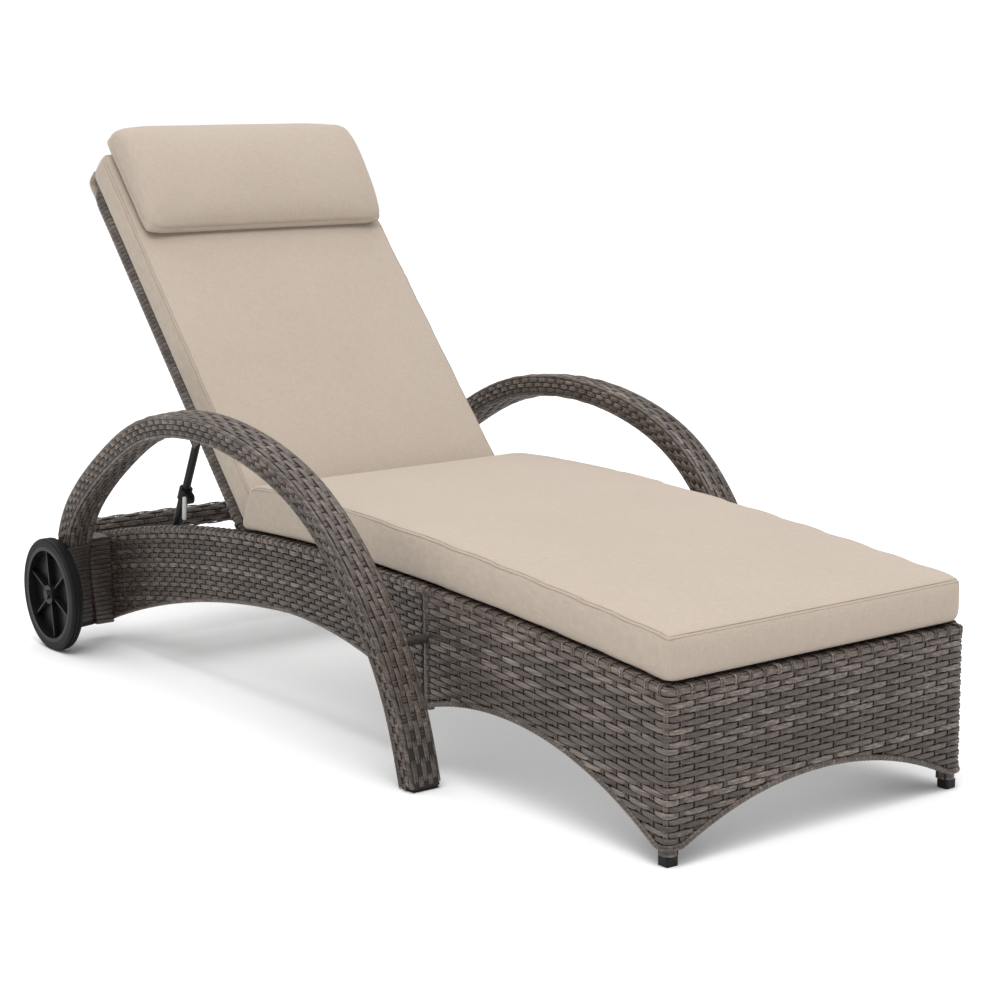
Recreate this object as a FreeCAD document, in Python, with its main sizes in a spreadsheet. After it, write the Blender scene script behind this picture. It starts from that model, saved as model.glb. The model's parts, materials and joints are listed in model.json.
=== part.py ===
import FreeCAD, Part
import math
import os

# Reclining sun lounger: a woven base on two floor legs and two wheels, arched woven arms, and a
# backrest that turns on pins near the middle and is held by a pair of telescopic struts.
# Lengths are millimetres.  Outlines are drawn with Y measured from the foot end and Z from the
# floor, and every body is then moved so that the origin is under the middle of the whole object.

Vector = FreeCAD.Vector
Placement = FreeCAD.Placement
Rotation = FreeCAD.Rotation

doc = FreeCAD.newDocument("sun_lounger")
sheet = doc.addObject("Spreadsheet::Sheet", "Dims")

DRIVING = [
    ("origin_y", 985.5, "foot end to the middle of the overall length"),
    ("half_width", 330.0, "half the width of the woven base"),
    ("skin", 6.0, "thickness of the woven side and foot skins"),
    ("frame_inner", 309.0, "inner face of the side rails and posts, from the middle"),
    ("frame_thick", 14.5, "width of the side rails and posts"),
    ("frame_bar", 25.0, "height of the rails round the top of the base"),
    ("base_length", 1903.0, "length of the woven sides"),
    ("rim_foot", 283.0, "height of the rim at the foot end"),
    ("rim_quarter", 322.0, "height of the rim at 500"),
    ("rim_middle", 337.0, "height of the rim at 1000"),
    ("rim_rear", 305.0, "height of the rim at 1480"),
    ("rim_head", 226.0, "height of the rim at the head end"),
    ("leg_size", 24.0, "side of the square corner legs"),
    ("cap_height", 16.0, "height of the black feet"),
    ("stub_top", 28.0, "bottom of the weave at the corner legs"),
    ("foot_arch", 100.0, "height of the arch in the foot end"),
    ("arm_foot_x", 367.5, "inner face of the arm at the floor"),
    ("arm_width", 59.0, "width of the arm band"),
    ("arm_thick", 40.0, "thickness of the arm band"),
    ("arm_lean", 4.8, "outward lean of the arms, degrees"),
    ("arm_pad", 6.0, "thickness of the glide under each arm"),
    ("axle_y", 1855.0, "wheel axle from the foot end"),
    ("axle_radius", 6.0, "radius of the wheel axle"),
    ("axle_half", 478.0, "half the length of the wheel axle"),
    ("wheel_radius", 121.0, "radius over the tyre"),
    ("tyre_inner", 103.0, "radius of the tyre seat"),
    ("rim_inner", 95.0, "inner radius of the wheel rim"),
    ("wheel_width", 26.0, "width of the tyre"),
    ("wheel_inner_x", 450.5, "inner face of the wheel"),
    ("hub_radius", 20.0, "radius of the hub"),
    ("spoke_count", 6, "ribs on each wheel"),
    ("spoke_width", 3.4, "thickness of a rib"),
    ("spoke_depth", 13.5, "depth of the ribs along the axle"),
    ("disc_thick", 3.0, "thickness of the closed disc behind the ribs"),
    ("running_gap", 0.05, "radial clearance of pins and axles"),
    ("hinge_y", 1308.0, "backrest hinge from the foot end"),
    ("hinge_z", 303.0, "backrest hinge height"),
    ("back_angle", 48.0, "backrest above the horizontal, degrees"),
    ("rail_x", 288.0, "middle of the backrest rails"),
    ("rail_radius", 17.0, "radius of the wrapped backrest tube"),
    ("rail_top", 921.0, "hinge to the middle of the top rail"),
    ("corner_radius", 60.0, "bend radius at the top corners"),
    ("pin_radius", 5.0, "radius of the hinge pins"),
    ("strut_bar_y", 1698.0, "lower strut pivot from the foot end"),
    ("strut_bar_z", 122.0, "lower strut pivot height"),
    ("strut_bar_radius", 10.0, "radius of the bar that the struts turn on"),
    ("strut_up", 271.0, "upper strut pivot, along the rail from the hinge"),
    ("strut_below", 33.0, "upper strut pivot, below the middle of the rail"),
    ("strut_pin_radius", 4.0, "radius of the upper strut pin"),
    ("tube_length", 280.0, "lower pivot to the mouth of the outer tube"),
    ("tube_radius", 11.0, "radius of the outer tube"),
    ("rod_radius", 8.5, "radius of the inner tube"),
    ("slide_gap", 0.2, "radial clearance of the inner tube"),
    ("seat_front", -5.0, "front of the seat cushion"),
    ("seat_height", 86.0, "top of the seat cushion above the rim, at the foot end"),
    ("seat_height_rear", 97.0, "top of the seat cushion above the rim, at the backrest"),
    ("back_pad_top", 90.0, "top of the back cushion above the middle of the rails"),
    ("back_pad_half", 307.0, "half the width of the back cushion"),
    ("seat_half", 330.0, "half the width of the seat cushion"),
    ("head_rail_y", 1923.2, "head rail from the foot end"),
    ("head_rail_z", 236.0, "head rail height"),
    ("head_rail_radius", 20.0, "radius of the wrapped head rail"),
    ("pillow_half", 286.0, "half the width of the head pillow"),
    ("soft_gap", 0.5, "clearance round the cushions"),
]

for row, (alias, value, note) in enumerate(DRIVING, start=1):
    sheet.set("A%d" % row, note)
    sheet.set("B%d" % row, str(value))
    sheet.setAlias("B%d" % row, alias)
doc.recompute()


def size(alias):
    """The number that the sheet holds under an alias."""
    return float(sheet.get(alias))


SIDES = (("left", -1), ("right", 1))
NODES = []

BASE_FRAME = ("0", "-Dims.origin_y", "0", None)
BACK_FRAME = ("0", "Dims.hinge_y - Dims.origin_y", "Dims.hinge_z", "Dims.back_angle")

HINGE = Vector(0, size("hinge_y"), size("hinge_z"))
BACK_TURN = Rotation(Vector(1, 0, 0), size("back_angle"))
UPPER_PIVOT = HINGE + BACK_TURN.multVec(Vector(0, size("strut_up"), -size("strut_below")))
LOWER_PIVOT = Vector(0, size("strut_bar_y"), size("strut_bar_z"))
STRUT_LENGTH = (UPPER_PIVOT - LOWER_PIVOT).Length
STRUT_ANGLE = math.degrees(math.atan2(UPPER_PIVOT.z - LOWER_PIVOT.z, UPPER_PIVOT.y - LOWER_PIVOT.y))


# ---------------------------------------------------------------- outlines in the Y-Z plane

def circle_height(three, y):
    """Height at y of the arc through three (y, z) points; every arc here bulges upward."""
    (y1, z1), (y2, z2), (y3, z3) = three
    d = 2 * (y1 * (z2 - z3) + y2 * (z3 - z1) + y3 * (z1 - z2))
    s1, s2, s3 = y1 ** 2 + z1 ** 2, y2 ** 2 + z2 ** 2, y3 ** 2 + z3 ** 2
    yc = (s1 * (z2 - z3) + s2 * (z3 - z1) + s3 * (z1 - z2)) / d
    zc = (s1 * (y3 - y2) + s2 * (y1 - y3) + s3 * (y2 - y1)) / d
    radius = math.hypot(y1 - yc, z1 - zc)
    return zc + math.sqrt(radius ** 2 - (y - yc) ** 2)


RIM = [
    ((0, size("rim_foot")), (500, size("rim_quarter")), (1000, size("rim_middle"))),
    ((1000, size("rim_middle")), (1480, size("rim_rear")), (size("base_length"), size("rim_head"))),
]
FRONT_ARCH = [((24, 28), (330, 141), (632, 118))]
REAR_ARCH = [
    ((650, 112), (829, 169), (1100, 199)),
    ((1100, 199), (1500, 148), (size("base_length"), 28)),
]
FRONT_END = 632
REAR_START = 650


def height(profile, y):
    """Height of a profile made of three-point arcs."""
    for three in profile:
        if three[0][0] <= y <= three[2][0]:
            return circle_height(three, y)
    raise ValueError("outside the profile")


def point(y, z):
    return Vector(y, z, 0)


def line(a, b):
    return Part.LineSegment(a, b)


def along(profile, y_from, y_to, rise=0.0):
    """Arcs that follow a profile between two lengths, lifted by rise."""
    edges = []
    for three in profile:
        start = max(y_from, three[0][0])
        end = min(y_to, three[2][0])
        if end - start < 1e-6:
            continue
        middle = (start + end) / 2
        stops = [point(y, circle_height(three, y) + rise) for y in (start, middle, end)]
        edges.append(Part.Arc(*stops))
    return edges


def polygon(points):
    """Closed straight outline through (y, z) points."""
    corners = [point(*p) for p in points]
    return [line(a, b) for a, b in zip(corners, corners[1:] + corners[:1])]


def circle(y, z, radius):
    return [Part.Circle(point(y, z), Vector(0, 0, 1), radius)]


def slot(y, z, angle, start, end, radius):
    """Round-ended slot: its middle line runs from start to end along angle, measured from (y, z)."""
    turn = math.radians(angle)
    ahead = point(math.cos(turn), math.sin(turn))
    aside = point(-math.sin(turn), math.cos(turn))
    a, b = point(y, z) + ahead * start, point(y, z) + ahead * end
    return [
        line(a + aside * radius, b + aside * radius),
        Part.Arc(b + aside * radius, b + ahead * radius, b - aside * radius),
        line(b - aside * radius, a - aside * radius),
        Part.Arc(a - aside * radius, a - ahead * radius, a + aside * radius),
    ]


def band(top, bottom, y_from, y_to, drop=0.0, rise=0.0):
    """Closed outline between two profiles."""
    upper_a = point(y_from, height(top, y_from) + drop)
    upper_b = point(y_to, height(top, y_to) + drop)
    lower_a = point(y_from, height(bottom, y_from) + rise)
    lower_b = point(y_to, height(bottom, y_to) + rise)
    return (along(top, y_from, y_to, drop) + [line(upper_b, lower_b)]
            + along(bottom, y_from, y_to, rise) + [line(lower_a, upper_a)])


# ---------------------------------------------------------------- document objects

def origin_plane(body, role):
    return next(o for o in body.Origin.OriginFeatures if o.Role == role)


def place(obj, frame, x="0"):
    """Put an object in a frame; x is an expression for its place across the width."""
    _, y, z, angle = frame
    obj.Placement = Placement(Vector(0, 0, 0), Rotation(Vector(1, 0, 0), 1 if angle else 0))
    obj.setExpression("Placement.Base.x", x)
    obj.setExpression("Placement.Base.y", y)
    obj.setExpression("Placement.Base.z", z)
    if angle:
        obj.setExpression("Placement.Rotation.Angle", angle)


def new_body(label, frame, x="0"):
    body = doc.addObject("PartDesign::Body", label)
    body.Label = label
    place(body, frame, x)
    return body


def new_sketch(body, role, edges, name="Outline"):
    sketch = body.newObject("Sketcher::SketchObject", name)
    sketch.AttachmentSupport = [(origin_plane(body, role), "")]
    sketch.MapMode = "FlatFace"
    for edge in edges:
        sketch.addGeometry(edge, False)
    return sketch


def add_pad(body, sketch, length):
    pad = body.newObject("PartDesign::Pad", "Pad")
    pad.Profile = sketch
    pad.setExpression("Length", length)
    sketch.Visibility = False
    return pad


def keep(obj, label):
    """Mark an object as a sub-part: it is written to its own file."""
    obj.Label = label
    NODES.append(obj)
    return obj


def slab(label, edges, x, width, frame=BASE_FRAME, kept=True):
    """A piece of constant section across the width, drawn in the Y-Z plane of its frame."""
    body = new_body(label, frame, x)
    add_pad(body, new_sketch(body, "YZ_Plane", edges), width)
    if kept:
        keep(body, label)
    return body


def side_x(sign, inner, width):
    """Expression for the low-X face of a piece whose inner face is at inner on either side."""
    return inner if sign > 0 else "-(%s) - (%s)" % (inner, width)


def both_sides(label, edges, inner, width, frame=BASE_FRAME):
    """Left and right copies kept as one sub-part."""
    parts = [slab("%s_%s" % (label, name), edges, side_x(sign, inner, width), width, frame, kept=False)
             for name, sign in SIDES]
    group = doc.addObject("Part::Compound", label)
    group.Links = parts
    return keep(group, label)


def cylinder_x(label, y, z, radius, x, length, frame=BASE_FRAME, bore=0.0, kept=True):
    edges = circle(y, z, radius)
    if bore:
        edges = edges + circle(y, z, bore)
    return slab(label, edges, x, length, frame, kept)


# ---------------------------------------------------------------- woven base

def side_rail(name, sign):
    """Curved bar under the rim; the weave is fixed to its outer face."""
    start = size("leg_size") + 5
    end = size("base_length")
    edges = band(RIM, RIM, start, end, -4, -4 - size("frame_bar"))
    slab("side_rail_" + name, edges, side_x(sign, "Dims.frame_inner", "Dims.frame_thick"), "Dims.frame_thick")


def side_posts(name, sign):
    """Posts hanging from the side rail under each load: arm, backrest hinge, strut bar and axle."""
    axle = circle(size("axle_y"), size("wheel_radius"), size("axle_radius") + size("running_gap"))
    posts = (
        ("arm", 626, 662, []),
        ("hinge", 1292, 1324, []),
        ("strut", 1682, 1714, []),
        ("axle", 1839, 1871, axle),
    )
    hang = -4 - size("frame_bar") - 0.2
    parts = []
    for load, start, end, bore in posts:
        profile = REAR_ARCH if start > REAR_START else FRONT_ARCH
        foot = height(profile, start) + 4
        outline = along(RIM, start, end, hang)
        outline += [
            line(point(end, height(RIM, end) + hang), point(end, foot)),
            line(point(end, foot), point(start, foot)),
            line(point(start, foot), point(start, height(RIM, start) + hang)),
        ]
        x = side_x(sign, "Dims.frame_inner", "Dims.frame_thick")
        parts.append(slab("post_%s_%s" % (load, name), outline + bore, x, "Dims.frame_thick", kept=False))
    group = doc.addObject("Part::Compound", "side_posts_" + name)
    group.Links = parts
    keep(group, "side_posts_" + name)


def side_panels(name, sign):
    """Woven skins: one in front of the arm's front leg and one behind it."""
    inner = "Dims.half_width - Dims.skin"
    x = side_x(sign, inner, "Dims.skin")
    stub = size("stub_top")
    top_end = point(FRONT_END, height(RIM, FRONT_END))
    low_end = point(FRONT_END, height(FRONT_ARCH, FRONT_END))
    front = along(RIM, 0, FRONT_END)
    front += [line(top_end, low_end)]
    front += along(FRONT_ARCH, 24, FRONT_END)
    front += [line(point(24, stub), point(0, stub))]
    front += [line(point(0, stub), point(0, size("rim_foot")))]
    slab("side_panel_front_" + name, front, x, "Dims.skin")
    rear = band(RIM, REAR_ARCH, REAR_START, size("base_length"))
    axle_hole = circle(size("axle_y"), size("wheel_radius"), size("axle_radius") + 1)
    slab("side_panel_rear_" + name, rear + axle_hole, x, "Dims.skin")


def foot_end():
    """Woven foot skin with its arch, and the rail behind its top edge."""
    half = size("half_width") - size("skin")
    stub, arch, top = size("stub_top"), size("foot_arch"), size("rim_foot")
    spring = half - 24
    low = size("skin") + 0.5
    high = low + size("frame_thick")
    skin_body = new_body("foot_panel", BASE_FRAME)
    outline = [
        line(point(-half, top), point(half, top)),
        line(point(half, top), point(half, stub)),
        line(point(half, stub), point(spring, stub)),
        Part.Arc(point(spring, stub), point(0, arch), point(-spring, stub)),
        line(point(-spring, stub), point(-half, stub)),
        line(point(-half, stub), point(-half, top)),
    ]
    pad = add_pad(skin_body, new_sketch(skin_body, "XZ_Plane", outline), "Dims.skin")
    pad.Reversed = True
    keep(skin_body, "foot_panel")

    bar_top = top - 5
    bar_low = bar_top - size("frame_bar")
    bar = polygon([(low, bar_low), (high, bar_low), (high, bar_top), (low, bar_top)])
    slab("foot_rail", bar, "-Dims.frame_inner + 8.5", "2 * Dims.frame_inner - 17")


def corner_leg(name, sign):
    """Square leg in the front corner, wrapped where it shows below the weave."""
    low = size("skin") + 0.5
    high = low + size("leg_size") - 2
    foot_top, leg_top = size("cap_height"), 262
    outline = polygon([(low, foot_top), (high, foot_top), (high, leg_top), (low, leg_top)])
    x = side_x(sign, "Dims.half_width - Dims.skin - Dims.leg_size + 1", "Dims.leg_size - 1.5")
    slab("corner_leg_" + name, outline, x, "Dims.leg_size - 1.5")


def foot_cap(name, sign):
    """Black plastic foot pushed on the end of the corner leg."""
    cap = doc.addObject("Part::Box", "cap_block_" + name)
    cap.setExpression("Length", "Dims.leg_size")
    cap.setExpression("Width", "Dims.leg_size")
    cap.setExpression("Height", "Dims.cap_height - 0.5")
    cap_x = side_x(sign, "Dims.half_width - Dims.leg_size - 4", "Dims.leg_size")
    cap.setExpression("Placement.Base.x", cap_x)
    cap.setExpression("Placement.Base.y", "-Dims.origin_y + 4")
    doc.recompute()
    rounded = doc.addObject("Part::Fillet", "foot_cap_" + name)
    rounded.Base = cap
    upright = [(i, 4.0, 4.0) for i, e in enumerate(cap.Shape.Edges, start=1)
               if abs(e.Vertexes[0].Z - e.Vertexes[1].Z) > 1]
    rounded.Edges = upright
    keep(rounded, "foot_cap_" + name)


def cross_bars():
    """Head rail, three bars that carry the deck, and the bar that the struts turn on."""
    cylinder_x("head_rail", size("head_rail_y"), size("head_rail_z"), size("head_rail_radius"),
               "-Dims.half_width", "2 * Dims.half_width")
    for label, y in (("cross_bar_front", 420), ("cross_bar_middle", 850), ("cross_bar_hinge", 1245)):
        cylinder_x(label, y, height(RIM, y) - 18.5, 12, "-Dims.frame_inner", "2 * Dims.frame_inner")
    cylinder_x("strut_bar", size("strut_bar_y"), size("strut_bar_z"), size("strut_bar_radius"),
               "-Dims.frame_inner", "2 * Dims.frame_inner")


def seat_deck():
    """Woven deck that the seat cushion lies on."""
    front, rear = size("skin") + 16, 1268
    edges = band(RIM, RIM, front, rear, 3, -6)
    slab("seat_deck", edges, "-Dims.frame_inner + 2", "2 * Dims.frame_inner - 4")


# ---------------------------------------------------------------- arms

ARM_LINE = [(566, -14), (597, 155), (686, 327), (838, 473), (1000, 537), (1235, 561), (1440, 524),
            (1586, 453), (1724, 364), (1808, 284), (1849, 205), (1862, 120), (1866, 45)]


def arm(name, sign):
    """Woven band swept along the arch, leaning outward, cut flat at the floor."""
    frame_x = "Dims.arm_foot_x" if sign > 0 else "-Dims.arm_foot_x"
    body = new_body("arm_band_" + name, BASE_FRAME)
    curve = Part.BSplineCurve()
    curve.interpolate([point(*p) for p in ARM_LINE])
    spine = new_sketch(body, "YZ_Plane", [curve], "Spine")
    start_y, start_z = ARM_LINE[0]
    half = size("arm_thick") / 2
    width = size("arm_width")
    corner = 7
    section = body.newObject("Sketcher::SketchObject", "Section")
    section.AttachmentSupport = [(origin_plane(body, "XY_Plane"), "")]
    section.MapMode = "FlatFace"
    section.AttachmentOffset = Placement(Vector(0, 0, start_z), Rotation())
    low, high = start_y - half, start_y + half
    bend = corner * (1 - math.sqrt(0.5))

    def across(x, y):
        return Vector(sign * x, y, 0)
    bends = [
        (across(width - corner, low), across(width - bend, low + bend), across(width, low + corner)),
        (across(width, high - corner), across(width - bend, high - bend), across(width - corner, high)),
        (across(corner, high), across(bend, high - bend), across(0, high - corner)),
        (across(0, low + corner), across(bend, low + bend), across(corner, low)),
    ]
    for here, following in zip(bends, bends[1:] + bends[:1]):
        section.addGeometry(Part.Arc(*here), False)
        section.addGeometry(line(here[2], following[0]), False)
    doc.recompute()
    pipe = body.newObject("PartDesign::AdditivePipe", "Band")
    pipe.Profile = section
    pipe.Spine = (spine, ["Edge1"])
    body.Placement = Placement(Vector(0, 0, 0), Rotation(Vector(0, 1, 0), 1))
    body.setExpression("Placement.Base.x", frame_x)
    body.setExpression("Placement.Rotation.Angle", "Dims.arm_lean" if sign > 0 else "-Dims.arm_lean")
    body.setExpression("Placement.Base.y", "-Dims.origin_y")

    floor_block = doc.addObject("Part::Box", "below_arm_" + name)
    floor_block.setExpression("Length", "Dims.arm_width * 3")
    floor_block.Width = 200
    floor_block.Height = 100
    block_x = side_x(sign, "Dims.arm_foot_x - Dims.arm_width", "Dims.arm_width * 3")
    floor_block.setExpression("Placement.Base.x", block_x)
    floor_block.setExpression("Placement.Base.y", "-Dims.origin_y + 460")
    floor_block.setExpression("Placement.Base.z", "Dims.arm_pad - 100")
    trimmed = doc.addObject("Part::Cut", "arm_trimmed_" + name)
    trimmed.Base = body
    trimmed.Tool = floor_block

    keep(without_axle("arm_" + name, trimmed, name, sign), "arm_" + name)


def without_axle(label, solid, name, sign):
    """The solid with a clear hole for the axle through it."""
    hole = cylinder_x("axle_hole_" + label, size("axle_y"), size("wheel_radius"), size("axle_radius") + 1,
                      side_x(sign, "Dims.half_width - 20", "Dims.arm_width + 100"), "Dims.arm_width + 100",
                      kept=False)
    cut = doc.addObject("Part::Cut", label)
    cut.Base = solid
    cut.Tool = hole
    return cut


def arm_foot(name, sign):
    """Thin glide under the arm's front leg."""
    top = size("arm_pad") - 0.3
    glide = polygon([(552, 0), (586, 0), (588, top), (552, top)])
    x = side_x(sign, "Dims.arm_foot_x + 4", "Dims.arm_width - 8")
    slab("arm_foot_" + name, glide, x, "Dims.arm_width - 8")


def arm_inner(z):
    """Distance of the arm's inner face from the middle at a height, less a small clearance."""
    return size("arm_foot_x") + z * math.tan(math.radians(size("arm_lean"))) - 0.3


def arm_spacers():
    """What holds the arms clear of the base: a tube at each front leg and a woven block at each rear leg."""
    parts = []
    y, z, radius = 641, 240, 8.5
    low, high = 62, 232
    near = size("half_width") + 0.3
    post = size("frame_inner") + size("frame_thick") + 0.3
    for name, sign in SIDES:
        width = "%.3f" % (arm_inner(z - radius) - post)
        tube = cylinder_x("spacer_tube_" + name, y, z, radius, side_x(sign, "%.3f" % post, width), width,
                          kept=False)
        block = new_body("spacer_body_" + name, BASE_FRAME)
        outline = polygon([(sign * near, low), (sign * arm_inner(low), low), (sign * arm_inner(high), high),
                           (sign * near, high)])
        sketch = new_sketch(block, "XZ_Plane", outline)
        sketch.AttachmentOffset = Placement(Vector(0, 0, -1899), Rotation())
        add_pad(block, sketch, "61")
        parts += [tube, without_axle("spacer_block_" + name, block, name, sign)]
    group = doc.addObject("Part::Compound", "arm_spacers")
    group.Links = parts
    keep(group, "arm_spacers")


# ---------------------------------------------------------------- wheels

def wheel_windows(y, z):
    """Spaces between the ribs."""
    count = int(size("spoke_count"))
    half_spoke = size("spoke_width") / 2
    inner, outer = size("hub_radius") - 4, size("rim_inner") + 2
    edges = []
    for k in range(count):
        first = 2 * math.pi * k / count + math.radians(83)
        second = first + 2 * math.pi / count

        def at(radius, angle):
            return point(y + radius * math.cos(angle), z + radius * math.sin(angle))
        a1 = first + half_spoke / inner
        a2 = second - half_spoke / inner
        b1 = first + half_spoke / outer
        b2 = second - half_spoke / outer
        edges += [
            Part.Arc(at(inner, a1), at(inner, (a1 + a2) / 2), at(inner, a2)),
            line(at(inner, a2), at(outer, b2)),
            Part.Arc(at(outer, b2), at(outer, (b1 + b2) / 2), at(outer, b1)),
            line(at(outer, b1), at(inner, a1)),
        ]
    return edges


def wheel(name, sign):
    """Moulded wheel: rim, closed disc, ribs and hub in one piece, with a separate tyre."""
    y, z = size("axle_y"), size("wheel_radius")
    bore = size("axle_radius") + size("running_gap")
    body = new_body("wheel_" + name, BASE_FRAME, side_x(sign, "Dims.wheel_inner_x", "Dims.wheel_width"))
    ring = circle(y, z, size("tyre_inner")) + circle(y, z, size("rim_inner"))
    rim = add_pad(body, new_sketch(body, "YZ_Plane", ring, "RimOutline"), "Dims.wheel_width")
    web = circle(y, z, size("rim_inner") + 4) + circle(y, z, bore)
    disc_in, ribs_in = 4, 6.5
    layers = (
        ("Disc", web, disc_in, "disc_thick"),
        ("Ribs", web + wheel_windows(y, z), ribs_in, "spoke_depth"),
    )
    for layer, outline, inset, depth in layers:
        sketch = new_sketch(body, "YZ_Plane", outline, layer)
        offset = inset if sign > 0 else size("wheel_width") - inset - size(depth)
        sketch.AttachmentOffset = Placement(Vector(0, 0, offset), Rotation())
        add_pad(body, sketch, "Dims." + depth)
    hub = circle(y, z, size("hub_radius")) + circle(y, z, bore)
    hub_sketch = new_sketch(body, "YZ_Plane", hub, "HubOutline")
    hub_sketch.AttachmentOffset = Placement(Vector(0, 0, 1), Rotation())
    body.Tip = add_pad(body, hub_sketch, "Dims.wheel_width - 2")
    rim.Visibility = False
    keep(body, "wheel_" + name)

    tyre = new_body("tyre_" + name, BASE_FRAME, side_x(sign, "Dims.wheel_inner_x", "Dims.wheel_width"))
    tyre.setExpression("Placement.Base.y", "Dims.axle_y - Dims.origin_y")
    tyre.setExpression("Placement.Base.z", "Dims.wheel_radius")
    low, top, width = size("tyre_inner"), size("wheel_radius"), size("wheel_width")
    shoulder = 5
    groove = 1.6
    bend = shoulder * (1 - math.sqrt(0.5))
    tread = [point(shoulder, top)]
    for middle in (width * 0.36, width * 0.64):
        tread += [point(middle - groove, top), point(middle - groove, top - groove),
                  point(middle + groove, top - groove), point(middle + groove, top)]
    tread.append(point(width - shoulder, top))
    section = [line(a, b) for a, b in zip(tread, tread[1:])]
    section += [
        Part.Arc(point(width - shoulder, top), point(width - bend, top - bend), point(width, top - shoulder)),
        line(point(width, top - shoulder), point(width, low)),
        line(point(width, low), point(0, low)),
        line(point(0, low), point(0, top - shoulder)),
        Part.Arc(point(0, top - shoulder), point(bend, top - bend), point(shoulder, top)),
    ]
    turned = tyre.newObject("PartDesign::Revolution", "Turned")
    turned.Profile = new_sketch(tyre, "XZ_Plane", section)
    turned.ReferenceAxis = (origin_plane(tyre, "X_Axis"), [""])
    turned.Angle = 360
    tyre.Tip = turned
    keep(tyre, "tyre_" + name)


def axle_parts():
    """The through axle, its sleeves between the arms and the wheels, and the caps on its ends."""
    y, z = size("axle_y"), size("wheel_radius")
    gap = size("running_gap")
    cylinder_x("wheel_axle", y, z, size("axle_radius"), "-Dims.axle_half", "2 * Dims.axle_half")
    both_sides("wheel_washers", circle(y, z, 13) + circle(y, z, size("axle_radius") + gap),
               "Dims.wheel_inner_x - 11.9", "11.5")
    both_sides("axle_caps", circle(y, z, 10), "Dims.axle_half", "3.5")


# ---------------------------------------------------------------- backrest

def back_rails():
    """Wrapped tube frame: two straight side rails and a top rail with bent corners."""
    radius = size("rail_radius")
    straight_top = size("rail_top") - size("corner_radius")
    for name, sign in SIDES:
        rail = new_body("back_rail_" + name, BACK_FRAME, side_x(sign, "Dims.rail_x", "0"))
        sketch = new_sketch(rail, "XZ_Plane", circle(0, 0, radius))
        sketch.AttachmentOffset = Placement(Vector(0, 0, -straight_top), Rotation())
        add_pad(rail, sketch, "Dims.rail_top - Dims.corner_radius - 22")
        keep(rail, "back_rail_" + name)
    top = new_body("back_top_rail", BACK_FRAME)
    x, bend = size("rail_x"), size("corner_radius")
    end = size("rail_top")
    cut = bend * (1 - math.sqrt(0.5))
    path = [
        Part.Arc(Vector(-x, straight_top, 0), Vector(-x + cut, end - cut, 0), Vector(-x + bend, end, 0)),
        line(Vector(-x + bend, end, 0), Vector(x - bend, end, 0)),
        Part.Arc(Vector(x - bend, end, 0), Vector(x - cut, end - cut, 0), Vector(x, straight_top, 0)),
    ]
    spine = new_sketch(top, "XY_Plane", path, "Spine")
    section = new_sketch(top, "XZ_Plane", circle(-x, 0, radius), "Section")
    section.AttachmentOffset = Placement(Vector(0, 0, -straight_top), Rotation())
    doc.recompute()
    pipe = top.newObject("PartDesign::AdditivePipe", "Tube")
    pipe.Profile = section
    pipe.Spine = (spine, ["Edge1", "Edge2", "Edge3"])
    keep(top, "back_top_rail")


def back_panel():
    """Woven panel stretched between the backrest rails."""
    half = size("rail_x") - size("rail_radius") - 0.3
    top = size("rail_top") - size("rail_radius") - 0.3
    low, corner = 34, size("corner_radius") - size("rail_radius")
    bend = corner * (1 - math.sqrt(0.5))
    body = new_body("back_panel", BACK_FRAME)
    outline = [
        line(Vector(-half, low, 0), Vector(half, low, 0)),
        line(Vector(half, low, 0), Vector(half, top - corner, 0)),
        Part.Arc(Vector(half, top - corner, 0), Vector(half - bend, top - bend, 0),
                 Vector(half - corner, top, 0)),
        line(Vector(half - corner, top, 0), Vector(-half + corner, top, 0)),
        Part.Arc(Vector(-half + corner, top, 0), Vector(-half + bend, top - bend, 0),
                 Vector(-half, top - corner, 0)),
        line(Vector(-half, top - corner, 0), Vector(-half, low, 0)),
    ]
    sketch = new_sketch(body, "XY_Plane", outline)
    sketch.AttachmentOffset = Placement(Vector(0, 0, 2), Rotation())
    add_pad(body, sketch, "8")
    keep(body, "back_panel")
    for label, u in (("back_bar_lower", 70), ("back_bar_middle", 430), ("back_bar_upper", 720)):
        cylinder_x(label, u, -8.2, 10, "-Dims.rail_x + Dims.rail_radius + 0.3",
                   "2 * (Dims.rail_x - Dims.rail_radius - 0.3)", BACK_FRAME)


def hinge_parts():
    """Pins fixed in plates on the side frames, and the lugs on the rails that turn on them."""
    pin, gap = size("pin_radius"), size("running_gap")
    y, z = size("hinge_y"), size("hinge_z")
    both_sides("hinge_plates", circle(y, z, 17) + circle(y, z, pin + gap), "Dims.frame_inner - 3.5", "3.4")
    both_sides("hinge_pins", circle(y, z, pin), "Dims.rail_x - 18",
               "Dims.frame_inner - Dims.rail_x + 18 - 0.1")
    for name, sign in SIDES:
        lug = circle(0, 0, pin + gap)
        radius = 15
        neck = 21.8
        lug += [
            Part.Arc(point(0, radius), point(-radius, 0), point(0, -radius)),
            line(point(0, -radius), point(neck, -radius)),
            line(point(neck, -radius), point(neck, radius)),
            line(point(neck, radius), point(0, radius)),
        ]
        slab("hinge_lug_" + name, lug, side_x(sign, "Dims.rail_x - 14", "28"), "28", BACK_FRAME)


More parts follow.
